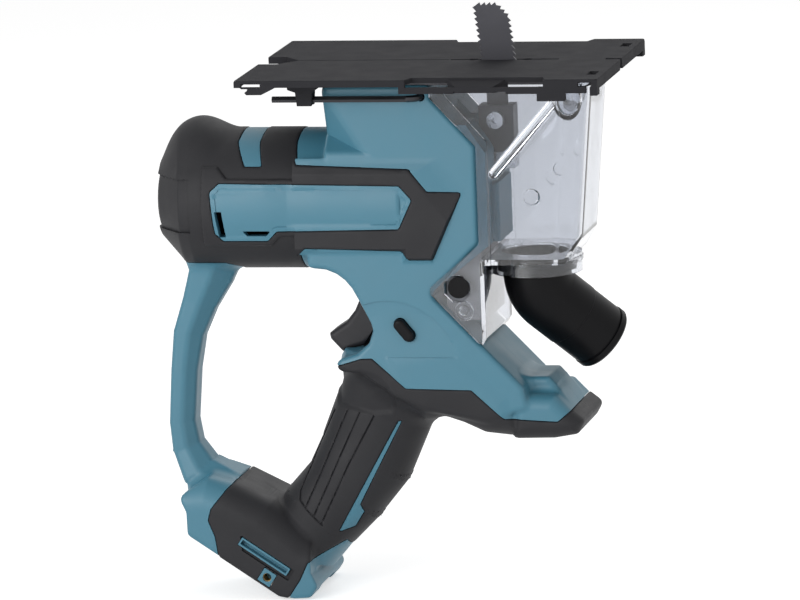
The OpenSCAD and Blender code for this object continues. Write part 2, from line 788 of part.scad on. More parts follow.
fan_x = motor_x + motor_l + 6;
module cooling_fan() {
    blades = 9;
    color(soft_black) {
        tube_x(fan_x, 7, 6, motor_shaft_r, -motor_z);
        tube_x(fan_x, 1.4, 19, 5, -motor_z);
        for (k = [0 : blades - 1]) translate([fan_x + 1, 0, -motor_z]) rotate([k * 360 / blades, 0, 0])
            translate([0, -0.7, 5.5]) cube([6, 1.4, 13]);
    }
}

// Gears with involute flanks

function involute(rb, t) = [rb * (cos(t) + t * PI / 180 * sin(t)), rb * (sin(t) - t * PI / 180 * cos(t))];
function roll_at(rb, r) = r <= rb ? 0 : sqrt(pow(r / rb, 2) - 1) * 180 / PI;
function polar(r, a) = [r * cos(a), r * sin(a)];
function flank_angle(rb, r) = let (p = involute(rb, roll_at(rb, r))) atan2(p[1], p[0]);

gear_pressure = 20;
gear_tip = 0.75;
gear_root = 1.1;
gear_backlash = 0.12;
module gear_outline(teeth, turn) {
    rp = gear_module * teeth / 2;
    rb = rp * cos(gear_pressure);
    ra = rp + gear_tip * gear_module;
    rf = rp - gear_root * gear_module;
    half = 90 / teeth - gear_backlash / 2 / rp * 180 / PI + flank_angle(rb, rp);
    steps = 4;
    low = max(rb, rf);
    rs = [for (i = [0 : steps]) low + (ra - low) * i / steps];
    polygon([for (k = [0 : teeth - 1]) let (a = turn + k * 360 / teeth) each concat(
        [polar(rf, a - half)],
        [for (r = rs) polar(r, a - half + flank_angle(rb, r))],
        [for (i = [steps : -1 : 0]) polar(rs[i], a + half - flank_angle(rb, rs[i]))],
        [polar(rf, a + half)])]);
}

module gear_at(x, z, teeth, turn, bore) {
    translate([x, 0, z]) rotate([90, 0, 90]) linear_extrude(gear_w) difference() {
        gear_outline(teeth, turn);
        circle(bore);
    }
}

module pinion() {
    color(steel) gear_at(gear_x, -motor_z, pinion_teeth, -90, motor_shaft_r);
}

crank_pin_r = 2.5;
module crank_gear() {
    color(dark_steel) {
        gear_at(gear_x, crank_z, gear_teeth, 90 + 180 / gear_teeth, crank_shaft_r);
        // boss that carries the crank pin, and the pin
        disc_x(gear_x + gear_w - tiny, 1.5, crank_shaft_r + throw + 2, crank_z);
        disc_x(gear_x + gear_w + 1, slider_back + 3.6, crank_pin_r, crank_z, throw);
    }
}

module crank_shaft() {
    color(steel) disc_x(case_x + 0.5, gear_x + gear_w - case_x - 0.5 - 0.02, crank_shaft_r, crank_z);
}

module crank_roller() {
    color(steel) tube_x(slider_x - slider_back + 0.6, 5.4, roller_r, crank_pin_r, crank_z, throw);
}

crank_bearing_r = 8;
crank_bearing_w = 5;
module crank_bearings() {
    color(steel) for (x = [case_x, case_x + case_w - crank_bearing_w])
        tube_x(x, crank_bearing_w, crank_bearing_r, crank_shaft_r + run_gap, crank_z);
}

module gear_case() {
    color(cast_alloy) difference() {
        translate([case_x, -case_hw, case_low]) cube([case_w, 2 * case_hw, case_top - case_low]);
        // hollow between the end walls
        translate([case_x + case_wall, -case_hw + 4, case_low + 4])
            cube([case_w - 2 * case_wall, 2 * case_hw - 8, case_top - case_low + 8]);
        for (x = [case_x - 1, case_x + case_w - crank_bearing_w])
            disc_x(x, crank_bearing_w + 1, crank_bearing_r + 0.01, crank_z);
        disc_x(case_x - 1, case_w + 2, crank_shaft_r + 1, crank_z);
        disc_x(case_x - 1, case_w + 2, motor_shaft_r + 1, -motor_z);
        disc_x(case_x + case_w - 5, 6, 7.51, -motor_z);
        for (p = case_screw_at) disc_x(case_x + case_w - case_wall - 1, case_wall + 2, screw_r + 0.05, p[1], p[0]);
    }
}

case_screw_at = [[-16, case_top - 5], [16, case_top - 5], [-16, case_low + 8], [16, case_low + 8]];
module gear_case_screws() {
    color(dark_steel) for (p = case_screw_at) {
        disc_x(case_x + case_w - case_wall, case_wall + 0.1, screw_r, p[1], p[0]);
        disc_x(case_x + case_w, 2, screw_head_r - 0.4, p[1], p[0]);
    }
}

// Slider, clamp and blade

module slider_guide() {
    color(cast_alloy) difference() {
        translate([guide_x0, -guide_hw, guide_low]) cube([guide_x1 - guide_x0, 2 * guide_hw, guide_top - guide_low]);
        // window for the yoke
        translate([guide_x0 - 1, -yoke_hw - 0.6, crank_z - yoke_hh - throw - 0.6])
            cube([slider_x + 4 - guide_x0 + 1, 2 * (yoke_hw + 0.6), 2 * (yoke_hh + throw + 0.6)]);
        translate([slider_x, 0, guide_low - 1]) cylinder(r = rod_r + 1, h = guide_top - guide_low + 2);
        translate([slider_x, 0, bush_top]) cylinder(r = bush_r + 0.01, h = 20);
        translate([slider_x, 0, guide_low - 1]) cylinder(r = bush_r + 0.01, h = bush_l + 2);
        along_y(catch_at[0], catch_at[1], -guide_hw - 1) cylinder(r = catch_stem_r + run_gap, h = 6.4);
    }
}

module slider_bushes() {
    color(bronze) for (z = [bush_low, bush_top]) translate([slider_x, 0, z]) difference() {
        cylinder(r = bush_r, h = bush_l);
        translate([0, 0, -1]) cylinder(r = rod_r + run_gap, h = bush_l + 2);
    }
}

module slider() {
    color(steel) difference() {
        union() {
            translate([slider_x, 0, rod_low]) cylinder(r = rod_r, h = rod_top - rod_low + 1);
            translate([slider_x - slider_back, -yoke_hw, crank_z - yoke_hh])
                cube([slider_back + 3.4, 2 * yoke_hw, 2 * yoke_hh]);
            // arm that carries the blade clamp
            translate([slider_x - 5, -clamp_hw, rod_top]) cube([clamp_w / 2 + 5 - slider_x, 2 * clamp_hw, arm_h]);
        }
        translate([slider_x - slider_back - 1, -roller_r - throw - 0.6, crank_z - roller_r - slot_slack])
            cube([slider_back, 2 * (roller_r + throw + 0.6), 2 * (roller_r + slot_slack)]);
    }
}

clamp_h = 20;
clamp_hw = 5;
clamp_w = 15;
shank_w = 9;
shank_d = 14;
module blade_clamp() {
    top = clamp_z + clamp_h;
    color(dark_steel) difference() {
        translate([-clamp_w / 2, -clamp_hw, clamp_z]) cube([clamp_w, 2 * clamp_hw, clamp_h]);
        translate([-shank_w / 2 - 0.1, -blade_t / 2 - 0.05, top - shank_d - 0.1]) cube([shank_w + 0.2, blade_t + 0.1, shank_d + 1]);
        along_y(0, top - 6, -clamp_hw - 1) cylinder(r = 2.02, h = clamp_hw + 1);
    }
}

module clamp_bolt() {
    top = clamp_z + clamp_h;
    color(steel) along_y(0, top - 6) difference() {
        union() {
            translate([0, 0, -clamp_hw]) cylinder(r = 2, h = clamp_hw - blade_t / 2 - 0.05);
            translate([0, 0, -clamp_hw - 3]) cylinder(r = 3.6, h = 3);
        }
        translate([0, 0, -clamp_hw - 4]) cylinder(r = key_af / sqrt(3), h = 3, $fn = 6);
    }
}

// One edge of teeth between two points, each tooth leaning back
function teeth(a, b, depth) = let (n = max(2, round(norm(b - a) / tooth_pitch)), e = (b - a) / n,
    out = [e[1], -e[0]] / norm(e)) [for (i = [0 : n - 1]) each [a + i * e, a + (i + 0.25) * e + depth * out]];

tooth_d = 1.3;
module saw_blade() {
    top = clamp_z + clamp_h;
    hw = blade_w / 2 - tooth_d;
    lean = tan(blade_lean);
    foot_z = -6;
    reach = blade_reach - tooth_d;
    shift = 1;
    low_l = [shift - hw - foot_z * lean, foot_z];
    low_r = [shift + hw - foot_z * lean, foot_z];
    top_l = [shift - hw - reach * lean, reach];
    top_r = [shift + hw - 4 - reach * lean, reach];
    side_r = [shift + hw - (reach - 5) * lean, reach - 5];
    color(dark_steel) rotate([90, 0, 0]) linear_extrude(blade_t, center = true) polygon(concat(
        [[-shank_w / 2, top - shank_d], [shank_w / 2, top - shank_d], [shank_w / 2, foot_z - 4]],
        teeth(low_r, side_r, tooth_d), teeth(side_r, top_r, tooth_d), teeth(top_r, top_l, tooth_d),
        teeth(top_l, low_l, tooth_d), [low_l, [-shank_w / 2, foot_z - 4]]));
}

// Switch and controls

module switch_body() {
    color(gloss_black) at_switch() difference() {
        translate([-switch_l / 2, -switch_hw, switch_low]) cube([switch_l, 2 * switch_hw, switch_top - switch_low]);
        translate([-switch_l / 2 - 1, -stem_hw - 0.4, stem_z - stem_hh - 0.4])
            cube([trigger_pull + 7, 2 * stem_hw + 0.8, 2 * stem_hh + 0.8]);
    }
}

module trigger() {
    back = -switch_l / 2 - trigger_pull - 0.6;
    color(gloss_black) {
        difference() {
            slab(trigger_outline, trigger_hw);
            at_switch() translate([back, -40, -60]) cube([80, 80, 120]);
        }
        at_switch() translate([back - 3, -stem_hw, stem_z - stem_hh]) cube([trigger_pull + 8, 2 * stem_hw, 2 * stem_hh]);
    }
}

module lock_off_button() {
    color(gloss_black) intersection() {
        button_oval(0);
        translate([-100, -body_hw - 2.5, -200]) cube([200, 2 * body_hw + 2.5 - button_push + 2.5, 200]);
    }
}

// Battery interface

terminal_l = 30;
terminal_hw = 15;
module terminal_room() {
    at_channel() translate([channel_back - terminal_l - 4 - seat_gap, -terminal_hw - seat_gap, -foot_depth + channel_d - 1])
        cube([terminal_l + 2 * seat_gap, 2 * (terminal_hw + seat_gap), 9]);
}

module terminal_block() {
    color(gloss_black) at_channel() difference() {
        translate([channel_back - terminal_l - 4, -terminal_hw, -foot_depth + channel_d - 3])
            cube([terminal_l, 2 * terminal_hw, 9]);
        for (y = [-10, 0, 10]) translate([channel_back - terminal_l - 4 + 6, y - 0.5, -40]) cube([16.05, 1, 60]);
    }
}

module terminal_blades() {
    color(steel) at_channel() for (y = [-10, 0, 10])
        translate([channel_back - terminal_l + 2.05, y - 0.4, -foot_depth + channel_d - 8]) cube([15.9, 0.8, 15]);
}

// Wires

// A tube swept along points in X, Y and Z
function unit(v) = v / norm(v);
function ring(p, t, r, n) = let (a = unit(cross(t, abs(t[1]) < 0.9 ? [0, 1, 0] : [1, 0, 0])), b = cross(t, a))
    [for (k = [0 : n - 1]) p + r * (cos(360 * k / n) * a + sin(360 * k / n) * b)];
module wire(path, r) {
    last = len(path) - 1;
    skin([for (i = [0 : last]) ring(path[i], unit(path[min(i + 1, last)] - path[max(i - 1, 0)]), r, 8)]);
}

wire_r = 1.3;
function mid_point(p, y) = [p[0], y, p[1]];
module battery_leads() {
    color(gloss_black) for (s = [-1, 1]) wire([mid_point(at_foot(14, -4), s * 8), mid_point(at_foot(15, -8), s * 8),
        [-84, s * 7, -196], [-72, s * 6, -184], [-62, s * 5, -168], [-53, s * 5, -150], [-48.2, s * 5, -139.6]], wire_r);
}

module motor_leads() {
    color(gloss_black) for (s = [-1, 1]) wire([[-44, s * 11.2, -119], [-50, s * 13, -107], [-56.8, s * 15.3, -97.8],
        [-61, s * 17, -92.5], [-70, s * 17.5, -80], [-74.6, s * 16, -70], [-76.6, s * 14, -66]], wire_r);
}

// Threaded inserts for a belt hook, one on each side of the foot
module hook_nut(side) {
    color(bronze) translate([hook_at[0], side * nut_out, hook_at[1]]) rotate([0, -grip_axis, 0]) difference() {
        translate([-hook_seat + seat_gap, side > 0 ? -nut_l : 0, -hook_seat + seat_gap])
            cube([2 * (hook_seat - seat_gap), nut_l, 2 * (hook_seat - seat_gap)]);
        rotate([90, 0, 0]) cylinder(r = hook_r, h = 40, center = true);
    }
}

// Dust box

box_top = -8.5;
ring_h = 7;
tab_front = -2.8;
tab_low = -118;
box_low_x = box_front - box_taper;
box_r = 10;

// Left edge of the clear side walls, from the top down to the end of the tab, moved out by grow
function box_edge(grow) = [[chev_top_x - grow, chev_top_z], [nose_x + 0.3 - grow, chev_up_z], [nose_x + 0.3 - grow, chev_low_z],
    [chev_tip_x - grow, -93.5], [chev_tip_x - grow, slope_z(chev_tip_x) + 0.6 - 1.4 * grow],
    [tab_front - 3.4, slope_z(tab_front - 3.4) + 0.6 - 1.4 * grow], [tab_front - 1.4, tab_low - 1.4 * grow]];
function box_side(grow) = concat([[chev_top_x - grow, 0]], box_edge(grow),
    [[tab_front + grow, tab_low + 2.5], [tab_front + grow, 0]]);
box_right = [[tab_front, tab_low + 2.5], [tab_front, -box_floor], [box_low_x - 5, -box_floor],
    [box_low_x, -box_floor + 12], [box_front + 0.5, box_top + 3.4]];
box_lean = atan2(box_taper + 0.5, box_floor - 12 + box_top + 3.4);

// Plan of the box, leaning with its outer end
module box_plan(d) {
    r = box_r - d;
    hw = body_hw - d;
    x = box_low_x - d;
    translate([box_low_x, 0, -box_floor + 12]) rotate([0, box_lean, 0]) translate([-box_low_x, 0, -120])
        linear_extrude(240) polygon(concat([[-90, hw], [-90, -hw]],
            [for (a = [0 : 15 : 90]) [x - r + r * sin(a), -hw + r - r * cos(a)]],
            [for (a = [90 : -15 : 0]) [x - r + r * sin(a), hw - r + r * cos(a)]]));
}

module dust_box() {
    outer = concat([[chev_top_x, box_top + 3.4]], box_edge(0), box_right);
    inner = concat([[-90, 40], [-90, -160], [tab_front, -160]], [for (i = [1 : 3]) box_right[i]], [[box_front + 6, 40]]);
    color(clear) difference() {
        union() {
            intersection() {
                slab(outer, body_hw + 5);
                box_plan(0);
            }
            translate([nozzle_x, 0, -box_floor - ring_h]) cylinder(r = ring_r, h = ring_h + 1);
        }
        intersection() {
            rotate([90, 0, 0]) linear_extrude(2 * body_hw + 10, center = true) offset(delta = -box_wall) polygon(inner);
            box_plan(box_wall);
        }
        translate([nozzle_x, 0, -box_floor - ring_h - 1]) cylinder(r = seal_r + 0.05, h = ring_h);
        translate([nozzle_x, 0, -box_floor - ring_h - 1]) cylinder(r = nozzle_r + 0.35, h = ring_h + 20);
        along_y(catch_at[0], catch_at[1], -body_hw - 5) cylinder(r = catch_r + 0.8, h = 12);
        translate([-100, -100, box_top]) cube([300, 200, 100]);
    }
}

module box_catch() {
    color(gloss_black) along_y(catch_at[0], catch_at[1], -lip_hw) {
        cylinder(r = catch_r, h = 4.4);
        translate([0, 0, 4.3]) cylinder(r = catch_stem_r, h = lip_hw - guide_hw + 2.6 - 4.3);
    }
}

// Nozzle, which turns in the dust box's ring
seal_r = nozzle_r + 2.2;
stub_top = -box_floor + 1;
elbow_z = -box_floor - ring_h - 1;

module at_outlet() {
    translate([elbow_r, 0, elbow_z]) rotate([0, -elbow_angle, 0]) translate([-elbow_r, 0, 0]) rotate([180, 0, 0]) children();
}

// A ring of points round the elbow's tube, t degrees into the bend and l before it
function elbow_ring(t, r, l = 0) = [for (k = [0 : 35]) let (a = -360 * (k + 0.5) / 36)
    [elbow_r * (1 - cos(t)) + r * cos(a) * cos(t), r * sin(a), elbow_z + l - elbow_r * sin(t) + r * cos(a) * sin(t)]];

module nozzle_elbow() {
    inner = nozzle_r - nozzle_wall;
    steps = 6;
    rings = concat([elbow_ring(0, nozzle_r, stub_top - elbow_z)],
        [for (i = [0 : steps]) elbow_ring(i * elbow_angle / steps, nozzle_r)],
        [for (i = [steps : -1 : 0]) elbow_ring(i * elbow_angle / steps, inner)],
        [elbow_ring(0, inner, stub_top - elbow_z)]);
    n = len(rings[0]);
    m = len(rings);
    color(gloss_black) translate([nozzle_x, 0, 0]) rotate(nozzle_swivel)
        polyhedron(points = [for (g = rings) each g], faces = [for (i = [0 : m - 1]) for (k = [0 : n - 1]) let (j = (i + 1) % m)
            each [[i * n + k, j * n + k, i * n + (k + 1) % n], [i * n + (k + 1) % n, j * n + k, j * n + (k + 1) % n]]]);
}

module nozzle_outlet() {
    inner = nozzle_r - nozzle_wall;
    color(gloss_black) translate([nozzle_x, 0, 0]) rotate(nozzle_swivel) at_outlet() rotate_extrude()
        polygon([[inner, 0], [nozzle_r, 0], [nozzle_r, nozzle_l - 0.8], [nozzle_r - 0.6, nozzle_l],
            [inner, nozzle_l]]);
}

module nozzle_seal() {
    color(soft_black) translate([nozzle_x, 0, -box_floor - ring_h + 1.5]) difference() {
        cylinder(r = seal_r, h = 3.5);
        translate([0, 0, -1]) cylinder(r = nozzle_r + run_gap, h = 6);
    }
}

housing_half(-1);  // housing_left
housing_half(1);  // housing_right
barrel_overmould(-1);  // barrel_overmould_left
barrel_overmould(1);  // barrel_overmould_right
grip_overmould(-1);  // grip_overmould_left
grip_overmould(1);  // grip_overmould_right
housing_screws();
base_plate();
base_cover();
base_screws();
hex_key();
motor_can();
motor_end_cap();
brush_holders();
carbon_brushes();
motor_magnets();
armature_shaft();
armature_core();
commutator();
cooling_fan();
pinion();
motor_bearings();
gear_case();
gear_case_screws();
crank_gear();
crank_shaft();
crank_roller();
crank_bearings();
slider_guide();
slider_bushes();
slider();
blade_clamp();
clamp_bolt();
saw_blade();
switch_body();
trigger();
lock_off_button();
terminal_block();
terminal_blades();
battery_leads();
motor_leads();
hook_nut(-1);  // hook_nut_left
hook_nut(1);  // hook_nut_right
dust_box();
box_catch();
nozzle_elbow();
nozzle_outlet();
nozzle_seal();
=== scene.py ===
"""Looks of a cordless drywall cut-out saw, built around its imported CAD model.

Lengths are in millimetres unless a name says otherwise, and meshes are made in metres. The frame is
the part's own: the origin is on the base's working face at the blade, +Z is the way the blade points,
and the side that the camera sees is -Y.
"""

import logging
import math
from collections.abc import Callable, Sequence
from dataclasses import dataclass, field
from enum import Enum
from functools import partial

import bpy
import numpy as np
from mathutils import Matrix, Vector

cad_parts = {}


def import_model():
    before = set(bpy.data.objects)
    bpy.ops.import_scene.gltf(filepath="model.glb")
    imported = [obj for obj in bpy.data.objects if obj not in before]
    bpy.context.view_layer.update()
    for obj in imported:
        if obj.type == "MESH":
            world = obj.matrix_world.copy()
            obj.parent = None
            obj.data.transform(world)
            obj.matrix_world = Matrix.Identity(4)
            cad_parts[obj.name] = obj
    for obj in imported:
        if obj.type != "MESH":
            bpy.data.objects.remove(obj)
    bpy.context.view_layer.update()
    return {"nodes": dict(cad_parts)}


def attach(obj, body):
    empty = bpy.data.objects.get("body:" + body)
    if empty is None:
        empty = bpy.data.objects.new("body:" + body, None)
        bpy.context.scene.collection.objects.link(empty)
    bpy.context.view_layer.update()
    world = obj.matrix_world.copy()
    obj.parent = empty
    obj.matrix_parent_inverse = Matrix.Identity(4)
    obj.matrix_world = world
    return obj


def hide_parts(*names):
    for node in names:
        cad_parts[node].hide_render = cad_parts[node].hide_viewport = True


log = logging.getLogger("saw")

MM = 0.001
Array = np.ndarray
Point = tuple[float, float]
Corner = tuple[float, float, float]
Field = Callable[[Array, Array, Array], Array]

# Farther than anything here, in millimetres, and the least length that is divided by
FAR = 1000.0
TINY = 1e-9
# Share of an outline's side that the arc at one of its corners may take, and the pieces of that arc
ARC_SHARE = 0.48
ARC_STEPS = 3


# Fields: signed distances in millimetres, negative inside


def outline(x: Array, z: Array, points: Sequence[Point]) -> Array:
    """Distance to a closed flat outline.

    Args:
        x: first coordinate.
        z: second coordinate, of a shape that goes with x.
        points: the outline's corners in order.

    Returns:
        The distance, negative inside the outline.
    """
    best: Array | None = None
    inside: Array = np.zeros((), bool)
    for (ax, az), (bx, bz) in zip(points, [*points[1:], points[0]]):
        ex, ez = bx - ax, bz - az
        px, pz = x - ax, z - az
        t = np.clip((px * ex + pz * ez) / (ex * ex + ez * ez), 0.0, 1.0)
        gap = (px - t * ex) ** 2 + (pz - t * ez) ** 2
        best = gap if best is None else np.minimum(best, gap)
        if ez != 0.0:
            crosses = (az <= z) != (bz <= z)
            inside = inside ^ (crosses & (px < pz * ex / ez))
    return np.where(inside, -1.0, 1.0) * np.sqrt(best)


def fillet(points: Sequence[Point], radius: float) -> list[Point]:
    """Rounds the corners of an outline.

    Args:
        points: the corners in order.
        radius: radius at each corner, less where its sides are short.

    Returns:
        The corners of the rounded outline.
    """
    made: list[Point] = []
    count = len(points)
    for i in range(count):
        here = Vector(points[i])
        to_last = Vector(points[i - 1]) - here
        to_next = Vector(points[(i + 1) % count]) - here
        half = to_last.angle(to_next) / 2
        reach = min(radius / math.tan(half), ARC_SHARE * to_last.length, ARC_SHARE * to_next.length)
        a = here + to_last.normalized() * reach
        b = here + to_next.normalized() * reach
        for k in range(ARC_STEPS + 1):
            t = k / ARC_STEPS
            p = a * (1 - t) ** 2 + here * 2 * t * (1 - t) + b * t * t
            made.append((p.x, p.y))
    return made


class Flat:
    """A rounded outline in the middle plane.

    Its distances are kept on a fine grid, from which many points are read.
    """

    low: Point = (-165.0, -268.0)
    high: Point = (65.0, 5.0)
    step: float = 0.4

    def __init__(self, points: Sequence[Point], radius: float = 0.0) -> None:
        """Keeps the corners, rounded by the radius."""
        self.points = fillet(points, radius) if radius else list(points)
        self.table: Array | None = None

    def __call__(self, x: Array, z: Array) -> Array:
        """Distance to the outline.

        Args:
            x: first coordinate.
            z: second coordinate.

        Returns:
            The distance, negative inside.
        """
        if self.table is None:
            xs = np.arange(self.low[0], self.high[0], self.step)
            zs = np.arange(self.low[1], self.high[1], self.step)
            self.table = outline(xs[:, None], zs[None, :], self.points)
        u, v = (x - self.low[0]) / self.step, (z - self.low[1]) / self.step
        i = np.clip(u.astype(int), 0, self.table.shape[0] - 2)
        k = np.clip(v.astype(int), 0, self.table.shape[1] - 2)
        u, v = u - i, v - k
        first = self.table[i, k] * (1.0 - v) + self.table[i, k + 1] * v
        second = self.table[i + 1, k] * (1.0 - v) + self.table[i + 1, k + 1] * v
        return first * (1.0 - u) + second * u


def soft_max(a: Array, b: Array, radius: float) -> Array:
    """What two forms share, its outer edge rounded by radius."""
    corner = np.sqrt(np.maximum(a + radius, 0.0) ** 2 + np.maximum(b + radius, 0.0) ** 2)
    return np.minimum(np.maximum(a, b), -radius) + corner


def soft_min(a: Array, b: Array, radius: float) -> Array:
    """Two forms joined, with a hollow fillet of that radius between them."""
    corner = np.sqrt(np.maximum(radius - a, 0.0) ** 2 + np.maximum(radius - b, 0.0) ** 2)
    return np.maximum(np.minimum(a, b), radius) - corner


def ball(x: Array, y: Array, z: Array, centre: Corner, half: Corner) -> Array:
    """Distance to an ellipsoid with its axes along the frame's, near its surface.

    Args:
        x: first coordinate.
        y: second coordinate.
        z: third coordinate.
        centre: its middle.
        half: its half axes.

    Returns:
        The distance, negative inside.
    """
    p = [(v - c) / h for v, c, h in zip((x, y, z), centre, half)]
    q = np.sqrt(p[0] ** 2 + p[1] ** 2 + p[2] ** 2) + TINY
    steep = np.sqrt((p[0] / half[0]) ** 2 + (p[1] / half[1]) ** 2 + (p[2] / half[2]) ** 2) + TINY
    return q * (q - 1.0) / steep


def post(x: Array, z: Array, at: Point, radius: float) -> Array:
    """Distance to a round post along Y."""
    return np.sqrt((x - at[0]) ** 2 + (z - at[1]) ** 2) - radius


def block(x: Array, y: Array, z: Array, low: Corner, high: Corner) -> Array:
    """Distance to a box along the frame's axes, near its faces."""
    sides = [np.maximum(a - v, v - b) for v, a, b in zip((x, y, z), low, high)]
    return np.maximum(np.maximum(sides[0], sides[1]), sides[2])


def drum(away: Array, z: Array, radius: float, low: float, high: float) -> Array:
    """Distance to a round disc along Z, from the distance to its axis, near its faces."""
    return np.maximum(away - radius, np.maximum(low - z, z - high))


def line(x: Array, z: Array, a: Point, b: Point) -> Array:
    """Distance to a straight line between two points.

    Args:
        x: first coordinate.
        z: second coordinate.
        a: the line's start.
        b: the line's end.

    Returns:
        The distance.
    """
    ex, ez = b[0] - a[0], b[1] - a[1]
    t = np.clip(((x - a[0]) * ex + (z - a[1]) * ez) / (ex * ex + ez * ez), 0.0, 1.0)
    return np.sqrt((x - a[0] - t * ex) ** 2 + (z - a[1] - t * ez) ** 2)


def turned_axes(x: Array, z: Array, at: Point, angle: float) -> tuple[Array, Array]:
    """Coordinates along axes that are turned in the middle plane.

    Args:
        x: first coordinate.
        z: second coordinate.
        at: where the turned axes start.
        angle: their turn in radians, from Z towards X.

    Returns:
        The coordinates along the turned axes.
    """
    dx, dz = x - at[0], z - at[1]
    c, s = math.cos(angle), math.sin(angle)
    return dx * c - dz * s, dx * s + dz * c


def cut(a: Array, b: Array) -> Array:
    """Form a with form b taken out of it."""
    return np.maximum(a, -b)


def zoned(area: Array, *holes: Array) -> Array:
    """A flat area with holes in it."""
    return cut(area, np.minimum.reduce(holes))


@dataclass(frozen=True)
class Slope:
    """A slant that starts at a line through a point and falls along a direction."""

    at: Point
    way: Point
    run: float = 1.0

    def fall(self, x: Array, z: Array) -> Array:
        """How far it has fallen, negative before its start."""
        return ((x - self.at[0]) * self.way[0] + (z - self.at[1]) * self.way[1]) / self.run


@dataclass(frozen=True)
class Station:
    """One section across a handle: its centre, half depth in the middle plane and half width."""

    x: float
    z: float
    depth: float
    width: float


@dataclass(frozen=True)
class Spine:
    """A handle that runs through stations in the middle plane."""

    stations: Sequence[Station]
    # Near the axis, within this share of the section, the distance to an oval is unsteady
    near_axis: float = 0.05
    least_share: float = 1e-6

    def place(self, x: Array, z: Array) -> tuple[Array, Array, Array, Array]:
        """Finds where points lie along the handle.

        Args:
            x: first coordinate.
            z: second coordinate.

        Returns:
            Offset across the handle, half depth and half width there, and the distance past an end.
        """
        kept: tuple[Array, ...] | None = None
        last = len(self.stations) - 2
        for i, (a, b) in enumerate(zip(self.stations, self.stations[1:])):
            ex, ez = b.x - a.x, b.z - a.z
            length = math.hypot(ex, ez)
            along = ((x - a.x) * ex + (z - a.z) * ez) / length
            side = ((x - a.x) * ez - (z - a.z) * ex) / length
            t = np.clip(along / length, 0.0, 1.0)
            within = np.full_like(along, -FAR)
            past = np.maximum(-along if i == 0 else within, along - length if i == last else within)
            gap = side**2 + (along - t * length) ** 2
            depth = a.depth + t * (b.depth - a.depth)
            width = a.width + t * (b.width - a.width)
            found = (gap, side, depth, width, past)
            if kept is not None:
                nearer = gap < kept[0]
                found = tuple(np.where(nearer, new, old) for new, old in zip(found, kept))
            kept = found
        return kept[1:]

    def oval(self, x: Array, y: Array, z: Array, power: float) -> Array:
        """Distance to the handle with oval sections.

        Args:
            x: first coordinate.
            y: second coordinate.
            z: third coordinate.
            power: 2 for an ellipse; a higher power squares the sections up.

        Returns:
            The distance, negative inside.
        """
        offset, depth, width, past = self.place(x, z)
        powers = (np.abs(offset) / depth) ** power + (np.abs(y) / width) ** power
        share = powers ** (1.0 / power) + self.least_share
        gap = np.sqrt(offset**2 + y**2) * (1.0 - 1.0 / share)
        return np.maximum(np.where(share < self.near_axis, -np.minimum(depth, width), gap), past)


def sheet_labels() -> Array:
    """Tells apart the sheets of a surface that cross one grid cell.

    Returns:
        A label for each of the cell's 12 edges, for each of the 256 patterns of its inside corners.
    """
    ends: list[tuple[int, int]] = []
    for axis in range(3):
        for place in range(4):
            low = (place % 2 << (axis + 1) % 3) + (place // 2 << (axis + 2) % 3)
            ends.append((low, low + (1 << axis)))
    made = np.zeros((256, 12), int)
    for pattern in range(256):
        crossed = [e for e, (a, b) in enumerate(ends) if (pattern >> a ^ pattern >> b) % 2]
        label = {e: e for e in crossed}
        for axis, side in ((axis, side) for axis in range(3) for side in range(2)):
            face = [e for e in crossed if all((c >> axis) % 2 == side for c in ends[e])]
            for e, f in ((e, f) for e in face for f in face if e < f):
                # On a face crossed four times, edges belong together that share an inside corner
                shared = set(ends[e]) & set(ends[f])
                if len(face) == 2 or any((pattern >> c) % 2 for c in shared):
                    label = {g: label[f] if old == label[e] else old for g, old in label.items()}
        order = sorted(set(label.values()))
        for e in crossed:
            made[pattern, e] = order.index(label[e])
    return made


SHEETS = sheet_labels()


